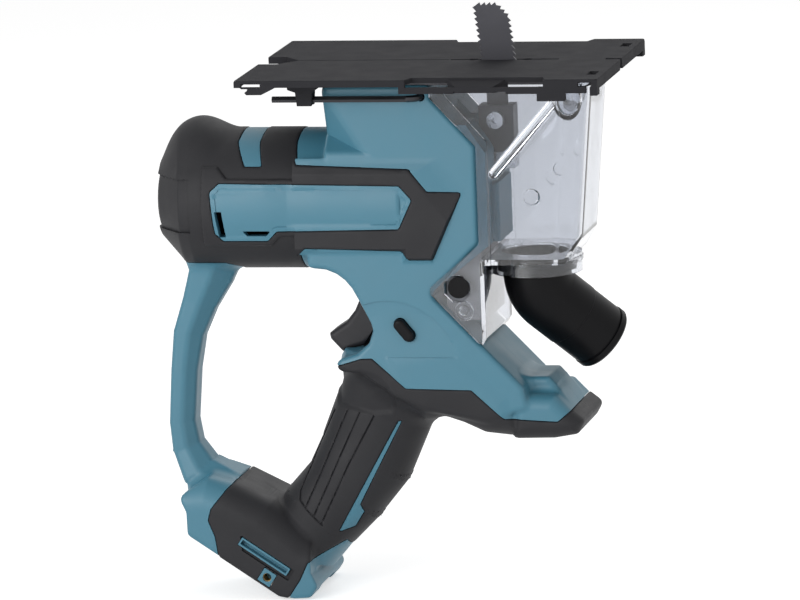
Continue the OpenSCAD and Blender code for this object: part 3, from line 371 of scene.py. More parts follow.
@dataclass(frozen=True)
class Contour:
    """Turns a field into a closed mesh that keeps its edges, one point for each sheet of it in a cell."""

    low: Corner
    high: Corner
    step: float
    # How firmly a point is held to the middle of its crossings, and how those are searched for
    stiffness: float = 0.03
    tries: int = 3
    margin: float = 0.02

    def points_and_faces(self, shape: Field) -> tuple[Array, Array]:
        """Meshes a field.

        Args:
            shape: the field, which is outside at the rim of the box.

        Returns:
            The points in millimetres and the four-sided faces.
        """
        axes = [np.arange(a, b + self.step, self.step) for a, b in zip(self.low, self.high)]
        size = tuple(len(a) for a in axes)
        grid = (axes[0][:, None, None], axes[1][None, :, None], axes[2][None, None, :])
        values = np.broadcast_to(shape(*grid), size).astype(np.float32)
        inside = values < 0.0
        pattern = self.patterns(inside).ravel()
        places, cells, flips = [], [], []
        strides = np.array([size[1] * size[2], size[2], 1])
        for axis in range(3):
            lower = tuple(slice(0, n - 1) if k == axis else slice(1, n - 1) for k, n in enumerate(size))
            upper = tuple(slice(1, n) if k == axis else slice(1, n - 1) for k, n in enumerate(size))
            hit = np.argwhere(inside[lower] != inside[upper])
            hit += np.array([0 if k == axis else 1 for k in range(3)])
            ends = hit.copy()
            ends[:, axis] += 1
            first, last = values[tuple(hit.T)], values[tuple(ends.T)]
            places.append(self.crossing(shape, axes, hit, axis, first, last))
            u, v = strides[(axis + 1) % 3], strides[(axis + 2) % 3]
            base = hit @ strides
            around = np.stack([base, base - u, base - u - v, base - v], axis=1)
            sheet = SHEETS[pattern[around], axis * 4 + np.array([0, 1, 3, 2])]
            cells.append(around * 4 + sheet)
            flips.append(~inside[tuple(hit.T)])
        place, cell, flip = np.concatenate(places), np.concatenate(cells), np.concatenate(flips)
        cell[flip] = cell[flip][:, ::-1]
        used, faces = np.unique(cell.ravel(), return_inverse=True)
        corner = np.stack(np.unravel_index(used // 4, size), axis=1)
        points = self.settle(place, self.normals(shape, place), faces.reshape(-1, 4), len(used))
        start = np.array([a[0] for a in axes]) + corner * self.step
        return np.clip(points, start, start + self.step), faces.reshape(-1, 4)

    @staticmethod
    def patterns(inside: Array) -> Array:
        """Finds which corners of each grid cell lie inside.

        Args:
            inside: whether each grid point does.

        Returns:
            One bit for each corner of a cell, kept at the cell's lowest corner.
        """
        made = np.zeros(inside.shape, np.uint8)
        for bit in range(8):
            part = tuple(slice(bit >> k & 1, n - 1 + (bit >> k & 1)) for k, n in enumerate(inside.shape))
            made[:-1, :-1, :-1] |= inside[part].astype(np.uint8) << bit
        return made

    def crossing(
        self, shape: Field, axes: list[Array], hit: Array, axis: int, f0: Array, f1: Array
    ) -> Array:
        """Finds where the surface crosses grid edges.

        Args:
            shape: the field.
            axes: the grid's coordinates.
            hit: index of each edge's lower end.
            axis: the way that the edges run.
            f0: values at their lower ends.
            f1: values at their upper ends.

        Returns:
            The crossing points.
        """
        point = np.stack([axes[k][hit[:, k]] for k in range(3)], axis=1)
        step = axes[axis][1] - axes[axis][0]
        low, high = np.zeros(len(hit)), np.ones(len(hit))
        f0, f1 = f0.astype(float), f1.astype(float)
        t = low
        for _ in range(self.tries):
            share = f0 / np.where(f0 == f1, 1.0, f0 - f1)
            t = low + (high - low) * np.clip(share, self.margin, 1.0 - self.margin)
            trial = point.copy()
            trial[:, axis] += t * step
            f = shape(trial[:, 0], trial[:, 1], trial[:, 2])
            same = (f < 0.0) == (f0 < 0.0)
            low, high = np.where(same, t, low), np.where(same, high, t)
            f0, f1 = np.where(same, f, f0), np.where(same, f1, f)
        point[:, axis] += t * step
        return point

    @staticmethod
    def normals(shape: Field, place: Array) -> Array:
        """Finds the directions out of the surface.

        Args:
            shape: the field.
            place: points on the surface.

        Returns:
            A direction of length 1 at each point.
        """
        small = 0.02
        made = np.empty_like(place)
        for axis in range(3):
            move = np.zeros(3)
            move[axis] = small
            made[:, axis] = shape(*(place + move).T) - shape(*(place - move).T)
        return made / np.maximum(np.linalg.norm(made, axis=1, keepdims=True), TINY)

    def settle(self, place: Array, normal: Array, faces: Array, count: int) -> Array:
        """Puts each cell's point where the surface's tangent planes meet.

        Args:
            place: crossing points.
            normal: directions there.
            faces: the four cells round each crossing.
            count: number of cells.

        Returns:
            One point for each cell.
        """
        owner = faces.ravel()
        place, normal = np.repeat(place, 4, axis=0), np.repeat(normal, 4, axis=0)
        many = np.bincount(owner, minlength=count)
        centre = np.stack([np.bincount(owner, place[:, k], count) for k in range(3)], axis=1)
        centre /= many[:, None]
        reach = np.einsum("ij,ij->i", normal, place - centre[owner])
        matrix = np.empty((count, 3, 3))
        for i in range(3):
            for k in range(3):
                matrix[:, i, k] = np.bincount(owner, normal[:, i] * normal[:, k], count)
        matrix += np.eye(3) * (self.stiffness * many)[:, None, None]
        right = np.stack([np.bincount(owner, normal[:, k] * reach, count) for k in range(3)], axis=1)
        return centre + np.linalg.solve(matrix, right[:, :, None])[:, :, 0]

    def build(self, shape: Field, name: str, keep: float = 1.0, sharp: float = 32.0) -> bpy.types.Object:
        """Makes an object from a field.

        Args:
            shape: the field.
            name: the object's name.
            keep: share of the faces that is kept.
            sharp: edges that bend by more than this many degrees shade as edges.

        Returns:
            The new object.
        """
        points, faces = self.points_and_faces(shape)
        mesh = bpy.data.meshes.new(name)
        mesh.vertices.add(len(points))
        mesh.vertices.foreach_set("co", (points * MM).astype(np.float32).ravel())
        mesh.loops.add(faces.size)
        mesh.loops.foreach_set("vertex_index", faces.astype(np.int32).ravel())
        mesh.polygons.add(len(faces))
        mesh.polygons.foreach_set("loop_start", np.arange(0, faces.size, 4, dtype=np.int32))
        mesh.update(calc_edges=True)
        made = add_object(name, mesh)
        if keep < 1.0:
            thin = made.modifiers.new("thin", "DECIMATE")
            thin.ratio = keep
            apply_modifiers(made)
        smooth(made, sharp)
        return made


# Meshes


def add_object(name: str, mesh: bpy.types.Mesh) -> bpy.types.Object:
    """Adds a mesh to the scene.

    Args:
        name: the object's name.
        mesh: its mesh.

    Returns:
        The new object.
    """
    made = bpy.data.objects.new(name, mesh)
    bpy.context.scene.collection.objects.link(made)
    return made


def apply_modifiers(thing: bpy.types.Object) -> None:
    """Makes an object's modifiers part of its mesh.

    Args:
        thing: the object.
    """
    graph = bpy.context.evaluated_depsgraph_get()
    mesh = bpy.data.meshes.new_from_object(thing.evaluated_get(graph))
    thing.modifiers.clear()
    old, thing.data = thing.data, mesh
    name = old.name
    bpy.data.meshes.remove(old)
    mesh.name = name


def smooth(thing: bpy.types.Object, sharp: float) -> None:
    """Shades an object smooth, apart from edges that bend by more than sharp degrees."""
    thing.data.shade_smooth()
    thing.data.set_sharp_from_angle(angle=math.radians(sharp))


def turned(name: str, rings: Sequence[Sequence[Corner]], sharp: float) -> bpy.types.Object:
    """Skins rings of points; the last ring joins the first.

    Args:
        name: the object's name.
        rings: rings with the same count of points, in millimetres.
        sharp: edges that bend by more than this many degrees shade as edges.

    Returns:
        The new object.
    """
    size = len(rings[0])
    points = [tuple(c * MM for c in p) for ring in rings for p in ring]
    faces: list[tuple[int, ...]] = []
    for i in range(len(rings)):
        j = (i + 1) % len(rings)
        for k in range(size):
            n = (k + 1) % size
            faces.append((i * size + k, i * size + n, j * size + n, j * size + k))
    mesh = bpy.data.meshes.new(name)
    mesh.from_pydata(points, [], faces)
    mesh.update()
    made = add_object(name, mesh)
    smooth(made, sharp)
    return made


# Finishes


def linear(code: str) -> tuple[float, float, float, float]:
    """Turns an sRGB hex colour to linear light.

    Args:
        code: the colour, as # and six digits.

    Returns:
        Red, green, blue and 1.
    """
    parts = [int(code[i : i + 2], 16) / 255.0 for i in (1, 3, 5)]
    red, green, blue = (c / 12.92 if c <= 0.04045 else ((c + 0.055) / 1.055) ** 2.4 for c in parts)
    return red, green, blue, 1.0


def add_node(
    tree: bpy.types.NodeTree,
    kind: str,
    settings: dict[str, object],
    links: dict[str | int, bpy.types.NodeSocket],
) -> bpy.types.Node:
    """Adds a node.

    Args:
        tree: the material's tree.
        kind: the node's type.
        settings: values of its properties and inputs, by name.
        links: what its inputs take, by name or number.

    Returns:
        The new node.
    """
    node = tree.nodes.new(kind)
    for key, value in settings.items():
        if key in node.bl_rna.properties:
            setattr(node, key, value)
        else:
            node.inputs[key].default_value = value
    for key, socket in links.items():
        tree.links.new(socket, node.inputs[key])
    return node


class Surface(Enum):
    """How a surface was made, which sets what its pattern is."""

    MOULDED = "moulded"
    BRUSHED = "brushed"
    CAST = "cast"
    CLEAR = "clear"


# Inputs and output of a colour mix, whose names stand for several sockets each
MIX_A = 6
MIX_B = 7
MIX_RESULT = 2


@dataclass(frozen=True)
class Finish:
    """One material: what it is made of, its colour, and the grain that its making leaves.

    Grain is the grain's size and depth its height, in millimetres. Mottle is the share by which faint
    patches differ in colour, and roughness differs by the spread.
    """

    name: str
    colour: str
    surface: Surface = Surface.MOULDED
    roughness: float = 0.5
    metallic: float = 0.0
    ior: float = 1.5
    grain: float = 0.6
    depth: float = 0.03
    mottle: float = 0.06
    specular: float = 0.5
    spread: float = 0.05
    patch: float = 12.0
    brushed: float = 14.0
    made: dict[str, bpy.types.Material] = field(default_factory=dict, compare=False, hash=False)

    def material(self) -> bpy.types.Material:
        """Gives the Blender material, which is made once.

        Returns:
            The material.
        """
        if "material" not in self.made:
            self.made["material"] = self.build()
        return self.made["material"]

    def build(self) -> bpy.types.Material:
        """Makes the material.

        Returns:
            The new material.
        """
        material = bpy.data.materials.new(self.name)
        material.use_nodes = True
        tree = material.node_tree
        tree.nodes.clear()
        coords = add_node(tree, "ShaderNodeTexCoord", {}, {})
        spot = coords.outputs["Object"]
        stretch = (1.0, 1.0, self.brushed if self.surface is Surface.BRUSHED else 1.0)
        place = add_node(tree, "ShaderNodeMapping", {"Scale": stretch}, {"Vector": spot})
        settings = {"Scale": 1.0 / (self.grain * MM), "Detail": 3.0, "Roughness": 0.6}
        grain = add_node(tree, "ShaderNodeTexNoise", settings, {"Vector": place.outputs["Vector"]})
        # Broad, faint patches, as handling and flow in the mould leave
        settings = {"Scale": 1.0 / (self.patch * MM), "Detail": 4.0, "Roughness": 0.55}
        broad = add_node(tree, "ShaderNodeTexNoise", settings, {"Vector": spot}).outputs["Fac"]
        base = linear(self.colour)
        pale = tuple(min(1.0, c * (1.0 + self.mottle)) for c in base[:3]) + (1.0,)
        dark = tuple(c * (1.0 - self.mottle) for c in base[:3]) + (1.0,)
        tint = add_node(tree, "ShaderNodeMix", {"data_type": "RGBA"}, {"Factor": broad})
        tint.inputs[MIX_A].default_value = dark
        tint.inputs[MIX_B].default_value = pale
        low, high = self.roughness - self.spread, self.roughness + self.spread
        settings = {"From Min": 0.3, "From Max": 0.7, "To Min": low, "To Max": high}
        rough = add_node(tree, "ShaderNodeMapRange", settings, {"Value": broad})
        settings = {"Strength": 1.0, "Distance": self.depth * MM}
        bump = add_node(tree, "ShaderNodeBump", settings, {"Height": grain.outputs["Fac"]})
        shader = add_node(
            tree,
            "ShaderNodeBsdfPrincipled",
            {"Metallic": self.metallic, "IOR": self.ior, "Specular IOR Level": self.specular},
            {
                "Base Color": tint.outputs[MIX_RESULT],
                "Roughness": rough.outputs["Result"],
                "Normal": bump.outputs["Normal"],
            },
        )
        if self.surface is Surface.CLEAR:
            shader.inputs["Transmission Weight"].default_value = 1.0
        add_node(tree, "ShaderNodeOutputMaterial", {}, {"Surface": shader.outputs["BSDF"]})
        return material

    def dress(self, thing: bpy.types.Object) -> None:
        """Gives an object this finish."""
        thing.data.materials.clear()
        thing.data.materials.append(self.material())


# Glass-filled nylon, spark-textured mould: a fine satin grain that breaks up its highlights
NYLON = Finish(
    "nylon_teal_moulded", "#42788C", roughness=0.45, grain=0.5, depth=0.012, mottle=0.04, ior=1.53
)
# Thermoplastic elastomer moulded over the nylon: duller, a little dusty
RUBBER = Finish(
    "elastomer_overmoulded", "#212124", roughness=0.6, grain=0.45, depth=0.02, mottle=0.08, specular=0.3
)
# Glass-filled nylon, dark, with an even fine texture
COVER = Finish(
    "nylon_charcoal_moulded", "#2E2E31", roughness=0.78, grain=0.5, depth=0.02, mottle=0.05, specular=0.1
)
# ABS from a smoother mould: satin black with soft, wide highlights
BLACK = Finish(
    "abs_black_moulded", "#0E0E10", roughness=0.4, grain=0.6, depth=0.01, mottle=0.1, specular=0.12
)
# Polypropylene trigger, slightly worn
TRIGGER = Finish(
    "polypropylene_moulded", "#28272A", roughness=0.5, grain=0.45, depth=0.014, mottle=0.07, specular=0.3
)
# Injection-moulded polycarbonate: clear, with slow ripples from the mould's polish
CLEAR = Finish(
    "polycarbonate_clear_moulded",
    "#D4D7DD",
    Surface.CLEAR,
    roughness=0.04,
    grain=9.0,
    depth=0.02,
    mottle=0.01,
    ior=1.58,
)
# Spring steel, blued by heat treatment
BLUED = Finish(
    "spring_steel_blued", "#3E3E43", Surface.BRUSHED, 0.5, metallic=0.6, grain=0.5, depth=0.01, mottle=0.1
)
# Carbon steel with black oxide: dark, faintly oily
OXIDE = Finish(
    "steel_black_oxide", "#3A3A3D", Surface.CAST, 0.4, metallic=0.8, grain=0.7, depth=0.01, mottle=0.1
)
# Ground bearing steel
GROUND = Finish(
    "steel_ground", "#B4B6BA", Surface.BRUSHED, 0.28, metallic=1.0, grain=0.5, depth=0.006, mottle=0.05
)
# Die-cast aluminium: pale grey, grainy
ALLOY = Finish("aluminium_die_cast", "#8F9093", Surface.CAST, 0.55, metallic=1.0, grain=0.9)
# Enamelled copper winding
COPPER = Finish("copper_enamelled", "#B0653A", Surface.BRUSHED, 0.35, metallic=1.0, mottle=0.1)
# Sintered bronze
BRONZE = Finish("bronze_sintered", "#A98A57", Surface.CAST, metallic=1.0, grain=0.5, mottle=0.08)
# Pressed carbon
CARBON = Finish("carbon_pressed", "#1C1C1D", Surface.CAST, 0.7, grain=0.4, mottle=0.1)


def fit(piece: bpy.types.Object, body: str, finish: Finish, nodes: Sequence[str]) -> None:
    """Finishes a piece and ties it to the CAD model.

    Args:
        piece: the object.
        body: the CAD body that it rides on.
        finish: its material.
        nodes: the CAD nodes that it stands for, none where it adds to one.
    """
    finish.dress(piece)
    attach(piece, body)
    if nodes:
        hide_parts(*nodes)
    log.info("piece %s: %d faces, on %s", piece.name, len(piece.data.polygons), body)


@dataclass(frozen=True)
class HousingForm:
    """Outer form of the moulded housing and the areas of its overmould."""

    motor_z: float = -59.0
    face: float = 27.5
    foot_at: Point = (-108.0, -203.0)
    foot_angle: float = math.radians(33.7)
    foot_half: float = 29.0
    channel_half: float = 21.0
    rail_depth: float = 3.0
    # Rounding of outer edges
    edge: float = 2.2
    neck_edge: float = 1.5
    belly_edge: float = 11.0
    chin_edge: float = 6.0
    lug_edge: float = 2.5
    guard_edge: float = 2.2
    guard_bevel_edge: float = 1.0
    foot_edge: float = 1.5
    foot_arch: float = 14.0
    foot_arch_edge: float = 1.0
    pad_edge: float = 0.5
    # Hollow fillets where a form meets the others
    bumper_join: float = 5.0
    belly_join: float = 2.0
    chin_join: float = 1.5
    lug_join: float = 3.0
    barrel_join: float = 2.0
    grip_join: float = 7.0
    foot_join: float = 2.5
    guard_join: float = 3.0
    flank_join: float = 0.6
    # The bumper over the barrel's rear end
    bumper_at: Corner = (-129.6, 0.0, -42.0)
    bumper_half: Corner = (15.0, 21.0, 18.0)
    chin_half: float = 26.5
    lug_half: float = 15.0
    # Power of the grip's oval sections
    grip_power: float = 2.3
    # Bevel of the neck's rear corner, which ends above the barrel, and its steepness
    neck_bevel: Slope = Slope((-65.5, -16.5), (-0.84, -0.545))
    neck_end: Slope = Slope((0.0, -36.0), (0.0, 1.5))
    neck_slope: float = 0.75
    # Bevel of the guard: where it starts, as a share of the depth, its slope and that slope's length
    guard_start: float = 0.1
    guard_slope: float = 0.9
    guard_steep: float = 1.345
    # Radius of the barrel along the motor's axis, drawn in by the rounding
    barrel_round: float = 1.5
    barrel_profile: Sequence[Point] = (
        (-146.5, -40.0), (-146.5, 13.2), (-145.4, 16.0), (-134.6, 27.8), (-131.0, 28.5),
        (-39.5, 28.5), (-39.5, -40.0),
    )
    body_outline: Flat = Flat(
        (
            (-71.0, -6.8), (-24.0, -6.8), (-24.0, -12.0), (-5.0, -33.0), (-5.0, -75.0),
            (-26.5, -97.0), (12.0, -137.0), (14.0, -146.0), (-4.0, -152.0), (-30.0, -147.0),
            (-46.0, -140.0), (-58.0, -132.0), (-67.6, -129.6), (-69.0, -126.6), (-66.5, -124.6),
            (-59.5, -122.5), (-54.3, -118.0), (-52.4, -112.5), (-53.2, -109.3), (-55.6, -104.4),
            (-58.6, -98.6), (-61.0, -94.2), (-63.8, -90.8), (-67.5, -88.0), (-72.0, -86.2),
            (-80.0, -85.4), (-80.0, -48.0), (-71.0, -40.0),
        ),
        3.0,
    )
    belly_outline: Flat = Flat(
        (
            (-52.0, -118.0), (-20.0, -114.0), (10.0, -139.0), (12.0, -159.6), (-6.3, -157.6),
            (-15.5, -153.4), (-24.0, -150.6), (-32.0, -153.0), (-52.0, -138.0),
        ),
        6.0,
    )
    chin_outline: Flat = Flat(
        (
            (6.0, -140.5), (25.0, -141.0), (31.0, -147.2), (37.2, -152.0), (34.0, -157.6),
            (24.0, -159.3), (6.0, -159.6),
        ),
        2.5,
    )
    chin_block: Flat = Flat(
        ((6.0, -134.6), (20.6, -134.6), (23.8, -138.0), (28.5, -148.0), (6.0, -152.0)),
        1.5,
    )
    foot_outline: Flat = Flat(
        (
            (-140.0, -184.9), (-137.0, -191.7), (-136.8, -201.5), (-97.5, -227.8), (-91.0, -229.0),
            (-83.6, -228.6), (-80.4, -223.8), (-83.2, -218.0), (-84.0, -203.0), (-100.0, -187.9),
            (-117.0, -180.0), (-128.0, -177.0),
        ),
        3.0,
    )
    foot_top: Flat = Flat(
        (
            (-165.0, -215.0), (-156.0, -178.0), (-128.0, -176.6), (-117.0, -180.4),
            (-101.0, -188.4), (-84.0, -203.0), (-60.0, -214.0), (-50.0, -240.0), (-150.0, -260.0),
        ),
        2.0,
    )
    grip: Spine = Spine(
        (
            Station(-47.0, -133.0, 23.0, 21.5),
            Station(-54.0, -151.0, 21.0, 17.5),
            Station(-62.5, -171.0, 20.6, 17.5),
            Station(-71.5, -185.0, 18.6, 18.0),
            Station(-83.0, -197.0, 18.1, 20.5),
            Station(-92.0, -209.0, 17.1, 21.5),
        )
    )
    guard: Spine = Spine(
        (
            Station(-123.5, -80.0, 11.5, 13.0),
            Station(-127.2, -92.0, 9.2, 11.0),
            Station(-132.7, -104.3, 7.1, 10.0),
            Station(-137.8, -117.2, 6.2, 10.0),
            Station(-140.2, -133.0, 5.5, 10.0),
            Station(-142.0, -156.0, 5.3, 10.0),
            Station(-140.6, -167.2, 5.8, 10.0),
            Station(-135.2, -177.4, 7.3, 12.0),
            Station(-124.5, -187.0, 11.0, 16.0),
        )
    )
    pad_outline: Flat = Flat(
        (
            (-124.0, -42.0), (-118.0, -42.0), (-113.5, -46.8), (-40.0, -47.4), (-30.5, -56.0),
            (-37.6, -70.6), (-91.0, -71.4), (-95.4, -75.6), (-124.0, -75.6),
        ),
    )
    # How far the frame round the panel stands out: less in front, where the swinging key passes over it
    pad_front: float = 0.65
    pad_rear: float = 1.5
    pad_change: Slope = Slope((-87.0, 0.0), (-1.0, 0.0), 10.0)
    pad_inner: float = 8.0
    # Beside the panel the body rises to this half width, and falls off along the flank's edges
    flank_face: float = 29.6
    flank_inner: float = 26.9
    flank_rear: float = -84.0
    flank_slopes: Sequence[Slope] = (
        Slope((0.0, -44.6), (0.0, 1.0), 2.6),
        Slope((-34.4, -44.6), (0.781, 0.625), 5.7),
        Slope((-13.2, -54.4), (0.907, -0.422), 0.5),
    )
    flank_low: float = -76.6
    flank_step: Point = (-36.0, -80.6)
    flank_low_run: float = 1.2
    barrel_area: Flat = Flat(
        (
            (-160.0, -15.0), (-84.0, -15.0), (-84.6, -33.0), (-83.0, -40.7), (-34.0, -42.6),
            (-26.4, -52.2), (-11.6, -52.8), (-25.0, -81.7), (-35.3, -81.7), (-38.6, -77.8),
            (-80.0, -76.5), (-83.6, -79.6), (-84.0, -95.0), (-112.0, -95.0), (-112.0, -88.0),
            (-118.0, -85.2), (-160.0, -85.2),
        ),
        1.2,
    )
    panel_area: Flat = Flat(
        (
            (-120.5, -52.0), (-116.5, -48.4), (-38.4, -49.7), (-33.0, -55.8), (-39.0, -68.3),
            (-92.0, -69.2), (-96.2, -73.5), (-115.7, -73.5), (-119.0, -70.0),
        ),
        1.5,
    )
    top_area: Flat = Flat(
        (
            (-108.0, -15.0), (-110.5, -33.0), (-106.0, -42.0), (-98.5, -42.0), (-101.0, -33.0),
            (-98.5, -15.0),
        ),
        0.8,
    )
    grip_area: Flat = Flat(
        (
            (-85.0, -128.4), (-70.0, -128.2), (-58.0, -124.6), (-53.2, -124.4), (-38.8, -137.4),
            (-10.4, -138.0), (3.3, -150.6), (26.3, -151.8), (44.0, -137.5), (60.0, -139.0),
            (60.0, -200.0), (-60.0, -260.0), (-96.0, -262.0), (-122.9, -214.0), (-124.6, -202.0),
            (-127.4, -195.0), (-126.0, -190.0), (-120.0, -182.5), (-112.0, -175.0),
            (-104.0, -165.0),
        ),
        1.5,
    )
    stripe_area: Flat = Flat(
        (
            (-45.0, -153.6), (-43.5, -153.6), (-63.0, -190.0), (-61.7, -193.5), (-66.0, -200.0),
            (-72.8, -202.0),
        ),
        0.6,
    )
    hook_area: Flat = Flat(
        (
            (-84.5, -213.6), (-80.5, -211.4), (-70.0, -206.0), (-70.0, -224.0), (-92.0, -236.0),
            (-93.5, -229.0), (-88.0, -221.0),
        ),
        0.8,
    )
    # Slot in the side of the foot: its middle and half size in the foot's axes, and the rim round it
    slot_at: Point = (8.1, -3.7)
    slot_half: Point = (11.6, 1.1)
    slot_rim: float = 0.8
    # The sunk area round the slot: its corners in the foot's axes, and its pointed front
    recess_low: Point = (-7.6, -6.9)
    recess_high: Point = (22.4, -1.4)
    recess_tip: Point = (-5.2, -2.0)
    recess_slope: float = 0.8
    recess_steep: float = 1.28
    # The square face round the belt hook's insert, in the foot's axes
    hook_at: Point = (13.9, -10.8)
    hook_half: float = 3.2
    # Screws through both halves, with room for their heads in the right one
    boss_points: Sequence[Point] = (
        (-60.0, -20.0), (-33.0, -20.0), (2.0, -146.0), (28.0, -151.0), (-80.0, -204.0),
    )
    head_r: float = 3.7
    head_y: float = 12.0
    # Room for the trigger: corners in X, distance from the middle, and Z
    trigger_room: tuple[Corner, Corner] = ((-76.0, -FAR, -128.0), (-40.0, 9.6, -98.0))
    # Lock-off button: its middle, the turn of its long section and half the length of its sides
    button_at: Point = (-38.5, -112.0)
    button_angle: float = math.radians(51.0)
    button_reach: float = 3.0
    thumb_outline: Flat = Flat(
        (
            (-72.5, -147.6), (-67.1, -148.8), (-55.7, -150.9), (-47.3, -150.2), (-44.4, -147.0),
            (-45.3, -137.0), (-50.5, -131.5), (-58.0, -129.0), (-69.0, -131.0), (-74.0, -138.0),
        ),
        2.0,
    )
    grooves: Sequence[Sequence[Point]] = (
        (
            (-73.9, -150.0), (-82.8, -167.9), (-89.1, -184.4), (-88.9, -188.0), (-85.9, -191.7),
            (-79.2, -198.5),
        ),
        ((-67.2, -148.9), (-77.2, -170.6), (-86.4, -191.1)),
        ((-61.7, -150.0), (-71.9, -171.0), (-82.6, -194.4)),
        ((-55.3, -151.3), (-67.5, -173.0), (-79.5, -197.8)),
    )

    def foot_axes(self, x: Array, z: Array) -> tuple[Array, Array]:
        """Coordinates along the foot, front to back, and up out of its underside."""
        return turned_axes(x, z, self.foot_at, self.foot_angle)

    def slot(self, x: Array, z: Array, grow: float) -> Array:
        """The foot's slot.

        Args:
            x: first coordinate.
            z: third coordinate.
            grow: how far it is widened all round.

        Returns:
            Its field in the middle plane.
        """
        along, up = self.foot_axes(x, z)
        ends = np.abs(along - self.slot_at[0]) - self.slot_half[0]
        return np.maximum(ends, np.abs(up - self.slot_at[1]) - self.slot_half[1]) - grow

    def slot_recess(self, x: Array, z: Array) -> Array:
        """The sunk area round the slot, pointed at its front.

        Args:
            x: first coordinate.
            z: third coordinate.

        Returns:
            Its field in the middle plane.
        """
        along, up = self.foot_axes(x, z)
        ends = np.maximum(self.recess_low[0] - along, along - self.recess_high[0])
        sides = np.maximum(self.recess_low[1] - up, up - self.recess_high[1])
        tip = self.recess_tip[0] - along + self.recess_slope * np.abs(up - self.recess_tip[1])
        return np.maximum(np.maximum(ends, sides), tip / self.recess_steep)

    def hook_face(self, x: Array, z: Array, grow: float) -> Array:
        """The square face round the belt hook's insert.

        Args:
            x: first coordinate.
            z: third coordinate.
            grow: how far it is widened all round.

        Returns:
            Its field in the middle plane.
        """
        along, up = self.foot_axes(x, z)
        gap = np.maximum(np.abs(along - self.hook_at[0]), np.abs(up - self.hook_at[1]))
        return gap - self.hook_half - grow

    def button(self, x: Array, z: Array, radius: float) -> Array:
        """The long round section of the lock-off button, with that radius at its ends."""
        u, v = turned_axes(x, z, self.button_at, self.button_angle)
        return np.sqrt(np.maximum(np.abs(u) - self.button_reach, 0.0) ** 2 + v**2) - radius

    def groove(self, x: Array, z: Array) -> Array:
        """Distance to the lines along the grip."""
        pairs = [pair for points in self.grooves for pair in zip(points, points[1:])]
        return np.minimum.reduce([line(x, z, a, b) for a, b in pairs])

    def barrel(self, x: Array, y: Array, z: Array) -> Array:
        """The motor barrel with the bumper over its rear end.

        Args:
            x: first coordinate.
            y: second coordinate.
            z: third coordinate.

        Returns:
            Its field.
        """
        away = np.sqrt(y**2 + (z - self.motor_z) ** 2)
        tube = outline(x, away, self.barrel_profile) - self.barrel_round
        return soft_min(tube, ball(x, y, z, self.bumper_at, self.bumper_half), self.bumper_join)

    def body(self, x: Array, wide: Array, z: Array) -> Array:
        """Neck, middle and belly of the body, with the chin.

        Args:
            x: first coordinate.
            wide: distance from the middle plane.
            z: third coordinate.

        Returns:
            Its field.
        """
        side = wide - self.face
        made = soft_max(self.body_outline(x, z), side, self.edge)
        # The neck's rear corner is bevelled, along a line that leans
        lean = np.minimum(self.neck_bevel.fall(x, z), self.neck_end.fall(x, z))
        bevel = (side + self.neck_slope * lean) / math.hypot(1.0, self.neck_slope)
        made = soft_max(made, bevel, self.neck_edge)
        belly = soft_max(self.belly_outline(x, z), side, self.belly_edge)
        chin = soft_max(self.chin_outline(x, z), wide - self.chin_half, self.chin_edge)
        lug = soft_max(self.chin_block(x, z), wide - self.lug_half, self.lug_edge)
        made = soft_min(soft_min(made, belly, self.belly_join), chin, self.chin_join)
        return soft_min(made, lug, self.lug_join)

    def hoop(self, x: Array, wide: Array, z: Array) -> Array:
        """The hand guard, bevelled on the side of the fingers.

        Args:
            x: first coordinate.
            wide: distance from the middle plane.
            z: third coordinate.

        Returns:
            Its field.
        """
        offset, depth, width, past = self.guard.place(x, z)
        side = wide - width
        bevel = (side - (offset + self.guard_start * depth) * self.guard_slope) / self.guard_steep
        made = soft_max(np.abs(offset) - depth, side, self.guard_edge)
        return np.maximum(soft_max(made, bevel, self.guard_bevel_edge), past)

    def outer(self, x: Array, y: Array, z: Array) -> Array:
        """The whole outer form.

        Args:
            x: first coordinate.
            y: second coordinate.
            z: third coordinate.

        Returns:
            Its field.
        """
        wide = np.abs(y)
        barrel = self.barrel(x, y, z)
        made = soft_min(barrel, self.body(x, wide, z), self.barrel_join)
        made = soft_min(made, self.grip.oval(x, y, z, self.grip_power), self.grip_join)
        # The foot's sides are crisp below and in front, and its back is arched
        side = wide - self.foot_half
        foot = soft_max(self.foot_outline(x, z), side, self.foot_edge)
        foot = soft_max(foot, soft_max(self.foot_top(x, z), side, self.foot_arch), self.foot_arch_edge)
        made = soft_min(made, foot, self.foot_join)
        made = soft_min(made, self.hoop(x, wide, z), self.guard_join)
        made = soft_min(made, self.flank(x, wide, z), self.flank_join)
        rise = np.clip(self.pad_change.fall(x, z), 0.0, 1.0)
        proud = self.pad_front + (self.pad_rear - self.pad_front) * rise
        pad = soft_max(self.pad_outline(x, z), barrel - proud, self.pad_edge)
        return np.minimum(made, np.maximum(pad, self.pad_inner - wide))

    def flank(self, x: Array, wide: Array, z: Array) -> Array:
        """The raised part of each side, with a bevel on top and a long facet towards the nose.

        Args:
            x: first coordinate.
            wide: distance from the middle plane.
            z: third coordinate.

        Returns:
            Its field.
        """
        step = np.maximum(self.flank_step[1] - z, self.flank_step[0] - x)
        fall = np.maximum(np.minimum(self.flank_low - z, step) / self.flank_low_run, 0.0)
        for slope in self.flank_slopes:
            fall = np.maximum(fall, slope.fall(x, z))
        made = np.maximum(wide - self.flank_face + fall, self.flank_inner - wide)
        return np.maximum(made, self.flank_rear - x)

    def barrel_zone(self, x: Array, z: Array) -> Array:
        """The barrel's overmould, in the middle plane."""
        return zoned(self.barrel_area(x, z), self.panel_area(x, z), self.top_area(x, z))

    def grip_zone(self, x: Array, z: Array) -> Array:
        """The grip's overmould, in the middle plane."""
        return zoned(self.grip_area(x, z), self.stripe_area(x, z), self.hook_area(x, z))


FORM = HousingForm()


